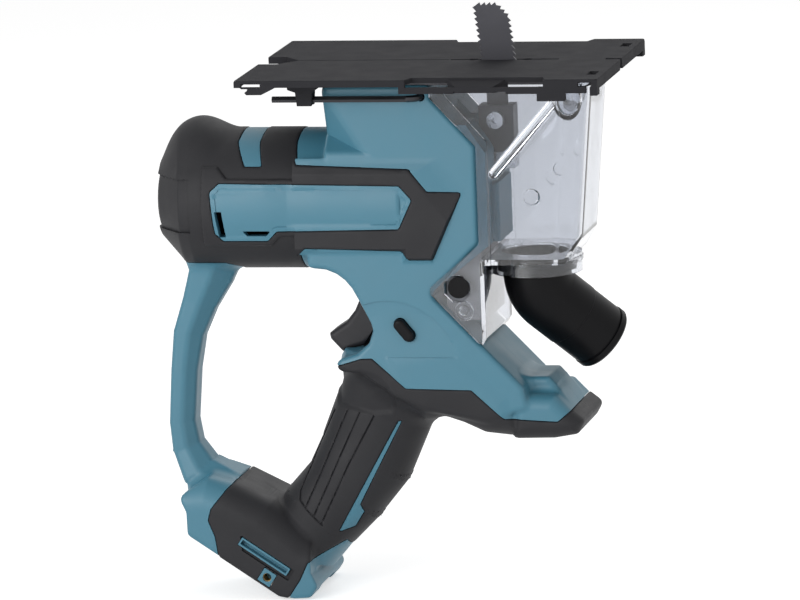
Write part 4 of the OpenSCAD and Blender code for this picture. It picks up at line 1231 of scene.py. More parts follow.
class Half(Enum):
    """The two halves of the body: which way each lies from the middle plane."""

    LEFT = -1
    RIGHT = 1

    @property
    def tag(self) -> str:
        """The half's name as it stands in the names of pieces."""
        return self.name.lower()

    def box(self, low: Corner, high: Corner) -> tuple[Corner, Corner]:
        """Mirrors the corners of a box on the right half to this one."""
        near, far = (low[1], high[1]) if self is Half.RIGHT else (-high[1], -low[1])
        return (low[0], near, low[2]), (high[0], far, high[2])


@dataclass
class Housing:
    """The two moulded halves of the housing, hollow, with pockets for the overmould."""

    # Box that is meshed, on the right half, its grid and the share of faces that is kept
    box: tuple[Corner, Corner] = ((-151.0, -1.5, -232.0), (42.0, 32.0, -4.0))
    step: float = 0.8
    keep: float = 0.5
    wall: float = 4.2
    # Pockets for the overmould, and the gap round it
    pocket: float = 2.2
    pocket_gap: float = 0.12
    seam: float = 0.01
    # The panel's middle is sunk inside a rim
    panel_rim: float = 2.0
    panel_sink: float = 0.5
    # Screw bosses: outer radius, the hole's radius and how far it goes
    boss_r: float = 4.6
    thread_r: float = 1.85
    thread_y: float = 13.5
    # Hole for the short arm of the key
    key_at: Point = (-28.0, -11.8)
    key_r: float = 1.9
    key_y: float = 12.0
    # Hole of the lock-off button, and of the belt hook's insert
    button_r: float = 2.85
    button_y: float = 12.0
    hook_r: float = 1.9
    hook_y: float = 24.0
    # The face round the trigger lies lower, below an arc
    arc_at: Point = (-46.0, -130.0)
    arc_r: float = 30.6
    arc_sink: float = 0.9
    arc_slope: float = 0.05
    arc_top: float = -106.0
    arc_end: float = -124.0
    # Room for the slider's rod: its axis, radius and ends
    rod_x: float = -12.0
    rod_r: float = 4.5
    rod_z: Point = (-116.0, -44.0)
    vent_inner: float = 15.0
    vents: Sequence[Sequence[Point]] = (
        ((-118.6, -60.4), (-115.6, -60.4), (-114.4, -71.7), (-117.2, -71.7)),
        ((-107.0, -69.0), (-94.5, -69.0), (-96.8, -71.2), (-105.3, -71.2)),
    )
    # Rooms for the trigger, the slider's guide and the blade clamp: corners in X, distance from the
    # middle, and Z
    rooms: Sequence[tuple[Corner, Corner]] = (
        FORM.trigger_room,
        ((-21.3, -FAR, -109.1), (-5.3, 19.3, -58.5)),
        ((-19.0, -FAR, -50.0), (11.0, 7.2, -16.0)),
    )
    # In the foot's axes: battery channel, its rail grooves, gap between the rear hooks, terminals, seat of
    # the belt hook's insert, and what is taken off the thin face in front of that seat
    foot_rooms: Sequence[tuple[Corner, Corner]] = (
        ((-40.0, -FAR, -FAR), (24.0, FORM.channel_half, -2.5)),
        ((-40.0, -FAR, -6.5), (24.0, FORM.channel_half + FORM.rail_depth, -3.5)),
        ((23.0, -FAR, -FAR), (41.0, 14.0, -4.0)),
        ((-10.3, -FAR, -6.8), (20.3, 15.3, 6.8)),
        ((10.7, 22.1, -14.0), (17.1, 27.5, -7.6)),
        ((10.7, 28.7, -14.0), (17.1, FAR, -7.6)),
    )
    slot_inner: float = 22.0
    # Tray in the foot's slot: its middle, half depth, floor, and the gap round it
    tray_y: float = 26.6
    tray_half: float = 2.2
    tray_floor: float = 1.0
    tray_gap: float = 0.05
    tray_box: tuple[Corner, Corner] = ((-116.0, 23.4, -220.5), (-90.5, 29.9, -200.5))
    tray_step: float = 0.32
    tray_keep: float = 0.6
    # A lip that goes inside the dust box, and the block below the blade clamp
    lip_half: float = 26.2
    lip_outline: Sequence[Point] = (
        (-40.0, -24.0), (-9.0, -24.0), (-1.0, -36.0), (-1.0, -76.0), (-20.0, -91.0), (-40.0, -91.0),
    )
    nose_half: float = 15.0
    nose_edge: float = 1.5
    nose_outline: Sequence[Point] = ((-20.0, -50.5), (2.0, -50.5), (2.0, -76.0), (-20.0, -76.0))

    def shell(self, half: Half, x: Array, y: Array, z: Array) -> Array:
        """The field of one half.

        Args:
            half: which half.
            x: first coordinate.
            y: second coordinate.
            z: third coordinate.

        Returns:
            The field.
        """
        wide = np.abs(y)
        outer = FORM.outer(x, y, z)
        lip = np.maximum(outline(x, z, self.lip_outline), wide - self.lip_half)
        nose = soft_max(outline(x, z, self.nose_outline), wide - self.nose_half, self.nose_edge)
        made = np.minimum(outer, np.minimum(lip, nose))
        cavity = np.maximum(outer + self.wall, -FORM.foot_axes(x, z)[1])
        for at in FORM.boss_points:
            cavity = cut(cavity, post(x, z, at, self.boss_r))
        made = cut(made, cavity)
        zone = np.minimum(FORM.barrel_zone(x, z), FORM.grip_zone(x, z))
        zone = cut(zone, FORM.hook_face(x, z, 0.0))
        made = cut(made, np.maximum(-(outer + self.pocket), zone - self.pocket_gap))
        panel = FORM.panel_area(x, z) + self.panel_rim
        made = cut(made, np.maximum(-(outer + self.panel_sink), panel))
        made = self.openings(made, x, y, z)
        made = self.screw_holes(made, half, x, y, z)
        return np.maximum(made, self.seam - half.value * y)

    def openings(self, made: Array, x: Array, y: Array, z: Array) -> Array:
        """Cuts what both halves have: rooms, slots and holes.

        Args:
            made: a half so far.
            x: first coordinate.
            y: second coordinate.
            z: third coordinate.

        Returns:
            The half with its openings.
        """
        wide = np.abs(y)
        along, up = FORM.foot_axes(x, z)
        for low, high in self.rooms:
            made = cut(made, block(x, wide, z, low, high))
        for low, high in self.foot_rooms:
            made = cut(made, block(along, wide, up, low, high))
        made = cut(made, drum(np.sqrt((x - self.rod_x) ** 2 + y**2), z, self.rod_r, *self.rod_z))
        for points in self.vents:
            made = cut(made, np.maximum(outline(x, z, points), self.vent_inner - wide))
        made = cut(made, np.maximum(FORM.button(x, z, self.button_r), self.button_y - wide))
        sink = self.arc_sink - self.arc_slope * np.maximum(self.arc_top - z, 0.0)
        lower = np.maximum(post(x, z, self.arc_at, self.arc_r), FORM.face - sink - wide)
        made = cut(made, np.maximum(lower, self.arc_end - z))
        hook = np.sqrt((along - FORM.hook_at[0]) ** 2 + (up - FORM.hook_at[1]) ** 2) - self.hook_r
        made = cut(made, np.maximum(hook, self.hook_y - wide))
        return cut(made, np.maximum(FORM.slot(x, z, FORM.slot_rim), self.slot_inner - wide))

    def screw_holes(self, made: Array, half: Half, x: Array, y: Array, z: Array) -> Array:
        """Cuts the screws' holes, with heads on the right, and the key's hole on the left.

        Args:
            made: the half so far.
            half: which half.
            x: first coordinate.
            y: second coordinate.
            z: third coordinate.

        Returns:
            The half with these holes.
        """
        for at in FORM.boss_points:
            made = cut(made, np.maximum(post(x, z, at, self.thread_r), np.abs(y) - self.thread_y))
            if half is Half.RIGHT:
                made = cut(made, np.maximum(post(x, z, at, FORM.head_r), FORM.head_y - y))
        if half is Half.LEFT:
            made = cut(made, np.maximum(post(x, z, self.key_at, self.key_r), y + self.key_y))
        return made

    def tray(self, half: Half, x: Array, y: Array, z: Array) -> Array:
        """The field of the thin tray in the slot of one side of the foot.

        Args:
            half: which half.
            x: first coordinate.
            y: second coordinate.
            z: third coordinate.

        Returns:
            The field.
        """
        depth = half.value * y - self.tray_y
        hole = np.maximum(FORM.slot(x, z, 0.0), self.tray_floor - self.tray_half - depth)
        made = cut(FORM.slot(x, z, FORM.slot_rim - self.tray_gap), hole)
        return np.maximum(made, np.abs(depth) - self.tray_half)

    def build(self) -> None:
        """Makes both halves and their trays."""
        for half in Half:
            grid = Contour(*half.box(*self.box), self.step)
            piece = grid.build(partial(self.shell, half), f"shell_{half.tag}", self.keep)
            fit(piece, "housing", NYLON, [f"housing_{half.tag}"])
            grid = Contour(*half.box(*self.tray_box), self.tray_step)
            piece = grid.build(partial(self.tray, half), f"slot_frame_{half.tag}", self.tray_keep)
            fit(piece, "housing", NYLON, [])


@dataclass
class Overmould:
    """The soft rubber on the barrel and on the grip, in two halves each."""

    # Boxes that are meshed, on the right half, their grids and the shares of faces that are kept
    barrel_box: tuple[Corner, Corner] = ((-151.0, -1.4, -98.0), (-8.0, 32.5, -20.0))
    barrel_step: float = 0.7
    barrel_keep: float = 0.6
    grip_box: tuple[Corner, Corner] = ((-131.0, -1.4, -232.0), (42.0, 32.5, -123.0))
    grip_step: float = 0.55
    grip_keep: float = 0.45
    # How far it stands out of the housing and goes into it, and the gap round it
    proud: float = 0.3
    depth: float = 2.15
    gap: float = 0.1
    edge: float = 0.7
    seam: float = 0.01
    # Flat band round the barrel's rear end: its corners in X and Z, and its depth
    band: tuple[Corner, Corner] = ((-152.0, -FAR, -70.0), (-130.0, FAR, -47.0))
    band_sink: float = 0.7
    # Dish for the thumb: slope and depth
    dish_slope: float = 0.5
    dish_sink: float = 1.0
    # Lines along the grip: half width, slope and depth
    groove_half: float = 0.45
    groove_slope: float = 1.4
    groove_sink: float = 0.6
    recess_sink: float = 1.5
    hook_inner: float = 22.0
    # Battery channel, in the foot's axes
    channel: tuple[Corner, Corner] = (
        (-41.0, -FAR, -FAR),
        (25.0, FORM.channel_half + FORM.rail_depth, -2.0),
    )

    def barrel(self, half: Half, x: Array, y: Array, z: Array) -> Array:
        """The field of one half of the barrel's rubber.

        Args:
            half: which half.
            x: first coordinate.
            y: second coordinate.
            z: third coordinate.

        Returns:
            The field.
        """
        outer = FORM.outer(x, y, z)
        made = soft_max(outer - self.proud, FORM.barrel_zone(x, z) + self.gap, self.edge)
        made = cut(made, np.maximum(block(x, y, z, *self.band), -(outer + self.band_sink)))
        made = np.maximum(made, -(outer + self.depth))
        return np.maximum(made, self.seam - half.value * y)

    def grip(self, half: Half, x: Array, y: Array, z: Array) -> Array:
        """The field of one half of the grip's rubber.

        Args:
            half: which half.
            x: first coordinate.
            y: second coordinate.
            z: third coordinate.

        Returns:
            The field.
        """
        wide = np.abs(y)
        outer = FORM.outer(x, y, z)
        dish = np.clip(-self.dish_slope * FORM.thumb_outline(x, z), 0.0, self.dish_sink)
        sunk = self.groove_slope * (self.groove_half - FORM.groove(x, z))
        face = outer - self.proud + dish + np.clip(sunk, 0.0, self.groove_sink)
        made = soft_max(face, FORM.grip_zone(x, z) + self.gap, self.edge)
        made = np.maximum(made, -(outer + self.depth))
        along, up = FORM.foot_axes(x, z)
        made = cut(made, block(along, wide, up, *self.channel))
        made = cut(made, np.maximum(FORM.slot_recess(x, z), -(outer + self.recess_sink)))
        made = cut(made, FORM.slot(x, z, FORM.slot_rim + self.gap))
        made = cut(made, np.maximum(FORM.hook_face(x, z, self.gap), self.hook_inner - wide))
        made = cut(made, block(x, wide, z, *FORM.trigger_room))
        if half is Half.RIGHT:
            for at in FORM.boss_points:
                made = cut(made, np.maximum(post(x, z, at, FORM.head_r), FORM.head_y - y))
        return np.maximum(made, self.seam - half.value * y)

    def build(self) -> None:
        """Makes the four pieces."""
        for half in Half:
            grid = Contour(*half.box(*self.barrel_box), self.barrel_step)
            piece = grid.build(partial(self.barrel, half), f"barrel_rubber_{half.tag}", self.barrel_keep)
            fit(piece, "housing", RUBBER, [f"barrel_overmould_{half.tag}"])
            grid = Contour(*half.box(*self.grip_box), self.grip_step)
            piece = grid.build(partial(self.grip, half), f"grip_rubber_{half.tag}", self.grip_keep)
            fit(piece, "housing", RUBBER, [f"grip_overmould_{half.tag}"])


@dataclass
class Base:
    """The base's moulded cover: a plate with a rim, windows, hooks and a clip for the key."""

    box: tuple[Corner, Corner] = ((-103.5, -59.7, -15.6), (55.5, 59.7, 1.3))
    step: float = 0.55
    keep: float = 0.5
    sharp: float = 28.0
    thick: float = 2.2
    edge: float = 0.4
    # The bars are this much smaller, so that their faces don't lie in the plate's
    inset: float = 0.02
    # The stored key in Y and Z, its room in the clip, and the clip's mouth and half width
    key_at: Point = (-32.5, -11.8)
    key_room: float = 1.65
    mouth_half: float = 1.2
    clip_half: float = 3.7
    # Slot for the blade with its wider places, and the sighting groove
    slots: Sequence[tuple[Corner, Corner]] = (
        ((-20.0, -FAR, -4.0), (27.0, 1.1, FAR)),
        ((-86.5, -FAR, -0.35), (-20.5, 0.5, FAR)),
    )
    wider_places: Sequence[float] = (-10.0, 13.5)
    wider_r: float = 2.3
    wider_low: float = -4.0
    # Sloped webs between the windows, from the plate down to the bar: start, slope and lower end
    web_at: Point = (51.4, -0.8)
    web_slope: float = 0.33
    web_low: float = -5.6
    # Snap hooks: their middle and half width
    hook_at: float = 56.4
    hook_half: float = 1.5
    # Plan, in X and in the distance from the middle
    plan: Sequence[Point] = (
        (-101.7, -20.0), (-101.7, 57.0), (-100.9, 57.9), (-28.6, 57.9), (-26.6, 51.4), (29.6, 51.4),
        (31.6, 57.9), (53.0, 57.9), (53.8, 57.0), (53.8, -20.0),
    )
    notch: Sequence[Point] = ((-120.0, -20.0), (-120.0, 10.2), (-93.5, 10.2), (-86.5, 1.0), (-86.5, -20.0))
    bridge: Sequence[Point] = ((-11.5, 50.0), (14.5, 50.0), (9.6, 57.9), (-6.6, 57.9))
    # Rims, bars and webs: lowest and highest corners in X, distance from the middle, and Z
    bars: Sequence[tuple[Corner, Corner]] = (
        ((-101.7, 55.6, -3.0), (-28.6, 57.9, -0.4)),
        ((-101.7, 10.2, -3.0), (-99.4, 57.9, -0.4)),
        ((-101.7, 10.2, -3.0), (-91.0, 12.0, -0.4)),
        ((-96.0, -14.0, -5.6), (-84.0, 14.0, -4.2)),
        ((-87.0, -14.0, -5.6), (-84.0, 14.0, -0.4)),
        ((-31.0, 55.6, -5.9), (-28.3, 57.9, -0.4)),
        ((-31.0, 55.6, -5.9), (-7.5, 57.9, -3.3)),
        ((-7.5, 55.6, -5.1), (15.0, 57.9, -3.3)),
        ((15.0, 55.6, -6.1), (32.0, 57.9, -3.3)),
        ((30.8, 55.6, -5.9), (49.0, 57.9, -0.4)),
        ((49.0, 53.5, -2.0), (53.8, 57.9, -0.4)),
        ((51.4, 2.6, -4.6), (53.8, 57.9, -0.4)),
        ((28.0, 54.4, -9.2), (40.0, 57.9, -3.4)),
        ((50.6, 52.0, -7.0), (53.8, 57.9, -3.4)),
        ((-71.0, 26.0, -5.2), (25.0, 28.0, -1.5)),
    )
    openings: Sequence[tuple[Corner, Corner]] = (
        ((-98.6, 53.0, -2.9), (-90.4, 60.0, -1.2)),
        ((45.6, 53.0, -3.1), (51.2, 60.0, -1.3)),
        ((46.8, 35.0, -9.0), (50.8, 44.5, 1.0)),
        ((47.0, -2.0, -9.0), (60.0, 2.0, 1.0)),
    )
    hook: Sequence[Point] = (
        (-98.8, -2.8), (-83.5, -2.8), (-90.0, -6.0), (-96.4, -6.0), (-97.2, -5.0), (-95.2, -3.5),
        (-98.8, -3.5),
    )
    clip: Sequence[Point] = (
        (-83.6, -1.5), (-71.2, -1.5), (-71.2, -7.2), (-73.0, -8.4), (-73.4, -14.2), (-79.6, -14.2),
        (-80.2, -8.4), (-83.6, -7.2),
    )

    def shape(self, x: Array, y: Array, z: Array) -> Array:
        """The field of the cover.

        Args:
            x: first coordinate.
            y: second coordinate.
            z: third coordinate.

        Returns:
            The field.
        """
        wide = np.abs(y)
        plate = np.abs(z + self.thick / 2) - self.thick / 2
        made = soft_max(outline(x, wide, self.plan), plate, self.edge)
        made = cut(made, outline(x, wide, self.notch))
        for low, high in self.bars:
            made = np.minimum(made, block(x, wide, z, low, high) + self.inset)
        slant = z - self.web_at[1] + self.web_slope * (wide - self.web_at[0])
        web = np.maximum(slant, self.web_low - z)
        made = np.minimum(made, np.maximum(outline(x, wide, self.bridge), web))
        hook = np.maximum(outline(x, z, self.hook), np.abs(wide - self.hook_at) - self.hook_half)
        made = np.minimum(made, hook)
        across, above = y - self.key_at[0], z - self.key_at[1]
        mouth = np.maximum(np.abs(across) - self.mouth_half, above)
        room = np.minimum(np.sqrt(across**2 + above**2) - self.key_room, mouth)
        clip = np.maximum(outline(x, z, self.clip), np.abs(across) - self.clip_half)
        made = np.minimum(made, cut(clip, room))
        for low, high in (*self.openings, *self.slots):
            made = cut(made, block(x, wide, z, low, high))
        for at in self.wider_places:
            made = cut(made, drum(np.sqrt((x - at) ** 2 + y**2), z, self.wider_r, self.wider_low, FAR))
        return made

    def build(self) -> None:
        """Makes the cover."""
        grid = Contour(*self.box, self.step)
        piece = grid.build(self.shape, "base_cover_moulding", self.keep, self.sharp)
        fit(piece, "housing", COVER, ["base_cover"])


@dataclass
class DustBox:
    """The clear box round the blade, with its tab, its nozzle ring and the hole for the catch."""

    box: tuple[Corner, Corner] = ((-28.0, -30.6, -119.5), (46.5, 30.6, -7.0))
    step: float = 0.6
    keep: float = 0.7
    sharp: float = 30.0
    half: float = 29.0
    panel_half: float = 28.1
    inner_half: float = 26.5
    wall: float = 2.0
    corner: float = 13.0
    inner_corner: float = 10.6
    top_z: float = -8.5
    # The end wall leans
    end: Slope = Slope((38.2, -72.0), (1.0, -0.09), 1.004)
    # Ring for the nozzle: discs that are added and taken away, by radius, lower and upper end
    ring_at: float = 14.6
    ring_discs: Sequence[Corner] = ((19.5, -91.0, -82.6), (20.0, -86.2, -84.2))
    ring_bores: Sequence[Corner] = ((17.1, -FAR, -85.4), (14.95, -FAR, -78.0))
    # Octagonal hole for the catch, in the near side
    catch_at: Point = (-14.7, -94.0)
    catch_r: float = 5.6
    catch_y: float = -22.0
    catch_slant: float = 0.7071
    # Details inside the walls, and the fillet round them; wide is the distance from the middle plane
    detail_join: float = 0.7
    rib: tuple[Point, Point] = ((29.6, -13.8), (2.4, -44.9))
    rib_wide: float = 26.8
    rib_r: float = 1.7
    boss_at: Point = (-12.4, -103.7)
    boss_r: float = 3.6
    boss_bore: float = 2.2
    boss_wide: float = 25.8
    boss_half: float = 1.6
    marks: Sequence[tuple[Point, float]] = (((18.3, -54.9), 3.2), ((31.0, -42.8), 2.6))
    mark_wide: float = 26.6
    mark_half: float = 0.6
    dome: tuple[Corner, Corner] = ((34.5, 24.6, -13.0), (6.0, 4.6, 9.0))
    dome_hollow: tuple[Corner, Corner] = ((34.5, 24.0, -13.0), (4.0, 3.0, 7.0))
    side: Sequence[Point] = (
        (-24.0, 0.0), (-24.0, -12.0), (-4.7, -33.0), (-4.7, -75.0), (-26.3, -93.5), (-26.3, -96.4),
        (-6.2, -117.5), (-4.2, -118.0), (-2.8, -115.5), (-2.8, -84.0), (31.5, -84.0), (37.8, -74.0),
        (60.0, -74.0), (60.0, 0.0),
    )
    room: Sequence[Point] = (
        (-90.0, 40.0), (-90.0, -160.0), (-4.9, -160.0), (-4.9, -81.8), (30.6, -81.8), (36.0, -73.0),
        (60.0, -73.0), (60.0, 40.0),
    )
    panel: Sequence[Point] = (
        (-17.6, 0.0), (-17.6, -10.6), (0.2, -31.0), (0.2, -84.0), (60.0, -84.0), (60.0, 0.0),
    )

    def shape(self, x: Array, y: Array, z: Array) -> Array:
        """The field of the box.

        Args:
            x: first coordinate.
            y: second coordinate.
            z: third coordinate.

        Returns:
            The field.
        """
        wide = np.abs(y)
        end = self.end.fall(x, z)
        made = np.maximum(soft_max(wide - self.half, end, self.corner), outline(x, z, self.side))
        # A flange along the edge that meets the housing stands proud of the side walls
        made = cut(made, np.maximum(outline(x, z, self.panel), self.panel_half - wide))
        room = soft_max(wide - self.inner_half, end + self.wall, self.inner_corner)
        made = cut(made, np.maximum(room, outline(x, z, self.room)))
        made = soft_min(made, self.inside(x, wide, z), self.detail_join)
        away = np.sqrt((x - self.ring_at) ** 2 + y**2)
        for radius, low, high in self.ring_discs:
            made = np.minimum(made, drum(away, z, radius, low, high))
        for radius, low, high in self.ring_bores:
            made = cut(made, drum(away, z, radius, low, high))
        dx, dz = np.abs(x - self.catch_at[0]), np.abs(z - self.catch_at[1])
        hole = np.maximum(np.maximum(dx, dz), (dx + dz) * self.catch_slant) - self.catch_r
        made = cut(made, np.maximum(hole, y - self.catch_y))
        return np.maximum(made, z - self.top_z)

    def inside(self, x: Array, wide: Array, z: Array) -> Array:
        """Ribs, bosses and marks on the inner faces of the side walls.

        Args:
            x: first coordinate.
            wide: distance from the middle plane.
            z: third coordinate.

        Returns:
            Their field.
        """
        made = np.sqrt(line(x, z, *self.rib) ** 2 + (wide - self.rib_wide) ** 2) - self.rib_r
        boss = cut(post(x, z, self.boss_at, self.boss_r), post(x, z, self.boss_at, self.boss_bore))
        made = np.minimum(made, np.maximum(boss, np.abs(wide - self.boss_wide) - self.boss_half))
        across = np.abs(wide - self.mark_wide) - self.mark_half
        for at, radius in self.marks:
            made = np.minimum(made, np.maximum(post(x, z, at, radius), across))
        return np.minimum(made, cut(ball(x, wide, z, *self.dome), ball(x, wide, z, *self.dome_hollow)))

    def build(self) -> None:
        """Makes the box."""
        grid = Contour(*self.box, self.step)
        piece = grid.build(self.shape, "dust_box_moulding", self.keep, self.sharp)
        fit(piece, "dust_box", CLEAR, ["dust_box"])


@dataclass
class Nozzle:
    """The bent tube that turns in the dust box's ring."""

    at: float = 14.6
    swivel: float = math.radians(35.0)
    radius: float = 14.6
    wall: float = 2.0
    bend_r: float = 16.0
    bend: float = math.radians(50.0)
    bend_z: float = -91.2
    points: int = 96
    bend_steps: int = 20
    sharp: float = 35.0
    # Rounded upper end: distances before the bend, and what is added to the inner or the outer radius
    stub_inner: Sequence[Point] = ((8.6, 0.0), (9.0, 0.4))
    stub_outer: Sequence[Point] = ((9.0, -0.5), (8.5, 0.0), (0.0, 0.0))
    # The outlet has a small step where its mould parted, and a lip behind a groove at its end
    outlet_outer: Sequence[Point] = (
        (0.02, 0.0), (12.6, 0.0), (12.9, -0.25), (27.6, -0.25), (27.8, -0.7), (28.4, -0.7),
        (28.6, 0.1), (31.0, 0.1), (31.7, -0.4), (32.0, -1.0),
    )
    outlet_inner: Sequence[Point] = ((32.0, 0.4), (31.4, 0.0))

    def ring(self, turn: float, along: float, radius: float) -> list[Corner]:
        """A ring of points round the tube.

        Args:
            turn: how far into the bend, in radians.
            along: distance before the bend where turn is 0, otherwise after it.
            radius: the ring's radius.

        Returns:
            The points.
        """
        c, s = math.cos(turn), math.sin(turn)
        cx, cz = self.bend_r * (1.0 - c), self.bend_z - self.bend_r * s
        if turn == 0.0:
            cz += along
        else:
            cx, cz = cx + along * s, cz - along * c
        made: list[Corner] = []
        for k in range(self.points):
            a = -2.0 * math.pi * k / self.points
            x, y, z = cx + radius * math.cos(a) * c, radius * math.sin(a), cz + radius * math.cos(a) * s
            turned_x = x * math.cos(self.swivel) - y * math.sin(self.swivel)
            turned_y = x * math.sin(self.swivel) + y * math.cos(self.swivel)
            made.append((self.at + turned_x, turned_y, z))
        return made

    def build(self) -> None:
        """Makes the elbow and the outlet."""
        inner = self.radius - self.wall
        turns = [self.bend * (i + 1) / self.bend_steps for i in range(self.bend_steps)]
        rings = [self.ring(0.0, a, inner + r) for a, r in self.stub_inner]
        rings += [self.ring(0.0, a, self.radius + r) for a, r in self.stub_outer]
        rings += [self.ring(t, 0.0, self.radius) for t in turns]
        rings += [self.ring(t, 0.0, inner) for t in reversed(turns)]
        rings += [self.ring(0.0, 0.0, inner)]
        piece = turned("nozzle_bend", rings, self.sharp)
        fit(piece, "nozzle", BLACK, ["nozzle_elbow"])
        rings = [self.ring(self.bend, self.outlet_outer[0][0], inner)]
        rings += [self.ring(self.bend, a, self.radius + r) for a, r in self.outlet_outer]
        rings += [self.ring(self.bend, a, inner + r) for a, r in self.outlet_inner]
        piece = turned("nozzle_mouth", rings, self.sharp)
        fit(piece, "nozzle", BLACK, ["nozzle_outlet"])


@dataclass
class Controls:
    """Trigger and lock-off button."""

    trigger_box: tuple[Corner, Corner] = ((-77.5, -10.3, -130.5), (-40.0, 10.3, -99.5))
    trigger_step: float = 0.45
    button_box: tuple[Corner, Corner] = ((-44.0, -31.0, -118.0), (-33.0, 26.5, -106.0))
    button_step: float = 0.4
    keep: float = 0.6
    half: float = 9.0
    edge: float = 2.4
    trigger_outline: Flat = Flat(
        (
            (-61.5, -101.5), (-64.0, -107.0), (-68.0, -112.0), (-73.0, -115.2), (-75.6, -117.0),
            (-75.0, -119.5), (-69.9, -125.0), (-60.0, -122.0), (-52.5, -115.5), (-54.0, -110.0),
        ),
        1.0,
    )
    # In the switch's axes: the trigger's flat back and its stem
    switch_at: Point = (-38.7, -125.2)
    back: float = -20.1
    stem: tuple[Corner, Corner] = ((-23.1, -4.0, -11.0), (-9.1, 4.0, 1.0))
    # The button: its radius, and its middle and half length across the body
    button_r: float = 2.5
    button_y: float = -2.4
    button_half: float = 27.6
    button_edge: float = 1.3

    def trigger(self, x: Array, y: Array, z: Array) -> Array:
        """The field of the trigger, with its stem into the switch.

        Args:
            x: first coordinate.
            y: second coordinate.
            z: third coordinate.

        Returns:
            The field.
        """
        along, up = turned_axes(x, z, self.switch_at, FORM.foot_angle)
        made = soft_max(self.trigger_outline(x, z), np.abs(y) - self.half, self.edge)
        made = np.maximum(made, along - self.back)
        return np.minimum(made, block(along, y, up, *self.stem))

    def button(self, x: Array, y: Array, z: Array) -> Array:
        """The field of the button, which goes right through the body."""
        ends = np.abs(y - self.button_y) - self.button_half
        return soft_max(FORM.button(x, z, self.button_r), ends, self.button_edge)

    def build(self) -> None:
        """Makes both pieces."""
        grid = Contour(*self.trigger_box, self.trigger_step)
        piece = grid.build(self.trigger, "trigger_moulding", self.keep)
        fit(piece, "trigger", TRIGGER, ["trigger"])
        grid = Contour(*self.button_box, self.button_step)
        piece = grid.build(self.button, "button_moulding", self.keep)
        fit(piece, "lock_off", BLACK, ["lock_off_button"])


@dataclass
class CarriedNodes:
    """CAD nodes whose shape is shown as it is: they get a finish."""

    finishes: Sequence[tuple[Finish, Sequence[str]]] = (
        (OXIDE, ("housing_screws", "base_plate", "hex_key", "motor_can", "motor_magnets")),
        (OXIDE, ("gear_case_screws", "crank_gear", "blade_clamp")),
        (GROUND, ("base_screws", "armature_shaft", "pinion", "motor_bearings", "crank_shaft")),
        (GROUND, ("crank_roller", "crank_bearings", "slider", "clamp_bolt", "terminal_blades")),
        (BLACK, ("motor_end_cap", "cooling_fan", "switch_body", "terminal_block", "battery_leads")),
        (BLACK, ("motor_leads", "box_catch")),
        (BRONZE, ("brush_holders", "slider_bushes", "hook_nut_left", "hook_nut_right")),
        (COPPER, ("armature_core", "commutator")),
        (ALLOY, ("gear_case", "slider_guide")),
        (CARBON, ("carbon_brushes",)),
        (BLUED, ("saw_blade",)),
        (RUBBER, ("nozzle_seal",)),
    )

    def dress(self, nodes: dict[str, bpy.types.Object]) -> None:
        """Gives each node its finish.

        Args:
            nodes: the CAD nodes by name.
        """
        for finish, names in self.finishes:
            for name in names:
                finish.dress(nodes[name])
                log.info("CAD node %s: %s", name, finish.name)


@dataclass(frozen=True)
class Lamp:
    """A soft square lamp: where it stands, its side in metres and its power in watts."""

    name: str
    place: Corner
    size: float
    watts: float

    def build(self, aim: Corner) -> None:
        """Adds the lamp.

        Args:
            aim: the point that it faces, in metres.
        """
        data = bpy.data.lights.new(self.name, "AREA")
        data.energy, data.size = self.watts, self.size
        lamp = bpy.data.objects.new(self.name, data)
        lamp.location = self.place
        lamp.rotation_euler = (Vector(aim) - Vector(self.place)).to_track_quat("-Z", "Y").to_euler()
        bpy.context.scene.collection.objects.link(lamp)


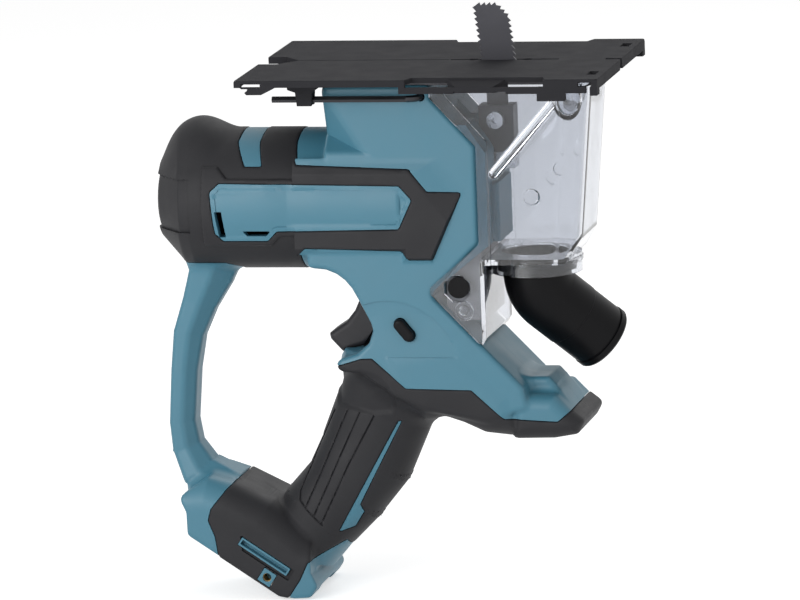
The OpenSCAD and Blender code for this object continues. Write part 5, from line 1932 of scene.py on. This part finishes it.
@dataclass
class Studio:
    """Floor, light and camera."""

    # The photograph's frame: 800 by 600 pixels, with the origin at this pixel
    origin_pixel: Point = (496.5, 59.3)
    middle_pixel: Point = (400.0, 300.0)
    pixel: float = 0.425
    focal_pixels: float = 8300.0
    frame_width: float = 800.0
    sensor: float = 36.0
    right: Corner = (0.9788, 0.2015, -0.0363)
    up: Corner = (0.0, 0.1774, 0.9841)
    clip: Point = (0.1, 50.0)
    # The lamps face this point, in metres
    aim: Corner = (-0.04, 0.0, -0.11)
    lamps: Sequence[Lamp] = (
        Lamp("key", (-0.42, -0.76, 0.12), 0.5, 4.0),
        Lamp("fill", (0.9, -1.1, 0.2), 0.9, 1.8),
        Lamp("back", (0.3, 1.0, 0.8), 0.8, 4.0),
    )
    even_light: float = 0.45
    # The floor's height, its reach in metres, its colour and the glow that lifts it to white
    floor_z: float = -229.6
    floor_reach: float = 6.0
    floor_colour: str = "#F4F4F4"
    floor_glow: float = 0.55

    def camera(self) -> None:
        """Sets the camera at the photograph's angle."""
        right = Vector(self.right).normalized()
        back = right.cross(Vector(self.up)).normalized()
        up = back.cross(right)
        target = right * ((self.middle_pixel[0] - self.origin_pixel[0]) * self.pixel)
        target += up * ((self.origin_pixel[1] - self.middle_pixel[1]) * self.pixel)
        place = (target + back * (self.focal_pixels * self.pixel)) * MM
        data = bpy.data.cameras.new("camera")
        data.sensor_width = self.sensor
        data.lens = self.focal_pixels / self.frame_width * self.sensor
        data.clip_start, data.clip_end = self.clip
        camera = bpy.data.objects.new("camera", data)
        turn = Matrix((right, up, back)).transposed().to_4x4()
        camera.matrix_world = Matrix.Translation(place) @ turn
        bpy.context.scene.collection.objects.link(camera)
        bpy.context.scene.camera = camera

    @staticmethod
    def seen(tree: bpy.types.NodeTree) -> bpy.types.NodeSocket:
        """Tells rays that show the background, straight or by gloss or glass, from those that give light.

        Args:
            tree: the tree that it is added to.

        Returns:
            A socket that is 1 for such rays.
        """
        path = add_node(tree, "ShaderNodeLightPath", {}, {})
        made = path.outputs["Is Camera Ray"]
        for name in ("Is Glossy Ray", "Is Transmission Ray"):
            links = {0: made, 1: path.outputs[name]}
            made = add_node(tree, "ShaderNodeMath", {"operation": "MAXIMUM"}, links).outputs[0]
        return made

    def light(self) -> None:
        """Adds the lamps and the world's even light."""
        for lamp in self.lamps:
            lamp.build(self.aim)
        world = bpy.data.worlds.new("studio")
        bpy.context.scene.world = world
        world.use_nodes = True
        tree = world.node_tree
        tree.nodes.clear()
        white = (1.0, 1.0, 1.0, 1.0)
        even = add_node(tree, "ShaderNodeBackground", {"Color": white, "Strength": self.even_light}, {})
        full = add_node(tree, "ShaderNodeBackground", {"Color": white, "Strength": 1.0}, {})
        links = {"Fac": self.seen(tree), 1: even.outputs[0], 2: full.outputs[0]}
        mix = add_node(tree, "ShaderNodeMixShader", {}, links)
        add_node(tree, "ShaderNodeOutputWorld", {}, {"Surface": mix.outputs[0]})

    def floor(self) -> None:
        """Adds a wide pale floor that keeps the object's shadow."""
        mesh = bpy.data.meshes.new("floor")
        reach, z = self.floor_reach, self.floor_z * MM
        corners = [(-reach, -reach, z), (reach, -reach, z), (reach, reach, z), (-reach, reach, z)]
        mesh.from_pydata(corners, [], [(0, 1, 2, 3)])
        floor = add_object("floor", mesh)
        material = bpy.data.materials.new("floor_pale")
        material.use_nodes = True
        tree = material.node_tree
        tree.nodes.clear()
        colour = {"Color": linear(self.floor_colour)}
        paint = add_node(tree, "ShaderNodeBsdfDiffuse", colour, {}).outputs[0]
        glow = add_node(tree, "ShaderNodeEmission", {"Strength": self.floor_glow}, {}).outputs[0]
        both = add_node(tree, "ShaderNodeAddShader", {}, {0: paint, 1: glow}).outputs[0]
        mix = add_node(tree, "ShaderNodeMixShader", {}, {"Fac": self.seen(tree), 1: paint, 2: both})
        add_node(tree, "ShaderNodeOutputMaterial", {}, {"Surface": mix.outputs[0]})
        mesh.materials.append(material)


def main() -> None:
    """Builds the scene."""
    logging.basicConfig(level=logging.INFO, format="%(message)s")
    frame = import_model()
    bpy.context.scene.view_settings.view_transform = "Standard"
    studio = Studio()
    studio.camera()
    studio.light()
    studio.floor()
    CarriedNodes().dress(frame["nodes"])
    Housing().build()
    Overmould().build()
    Base().build()
    DustBox().build()
    Nozzle().build()
    Controls().build()


if __name__ == "__main__":
    main()
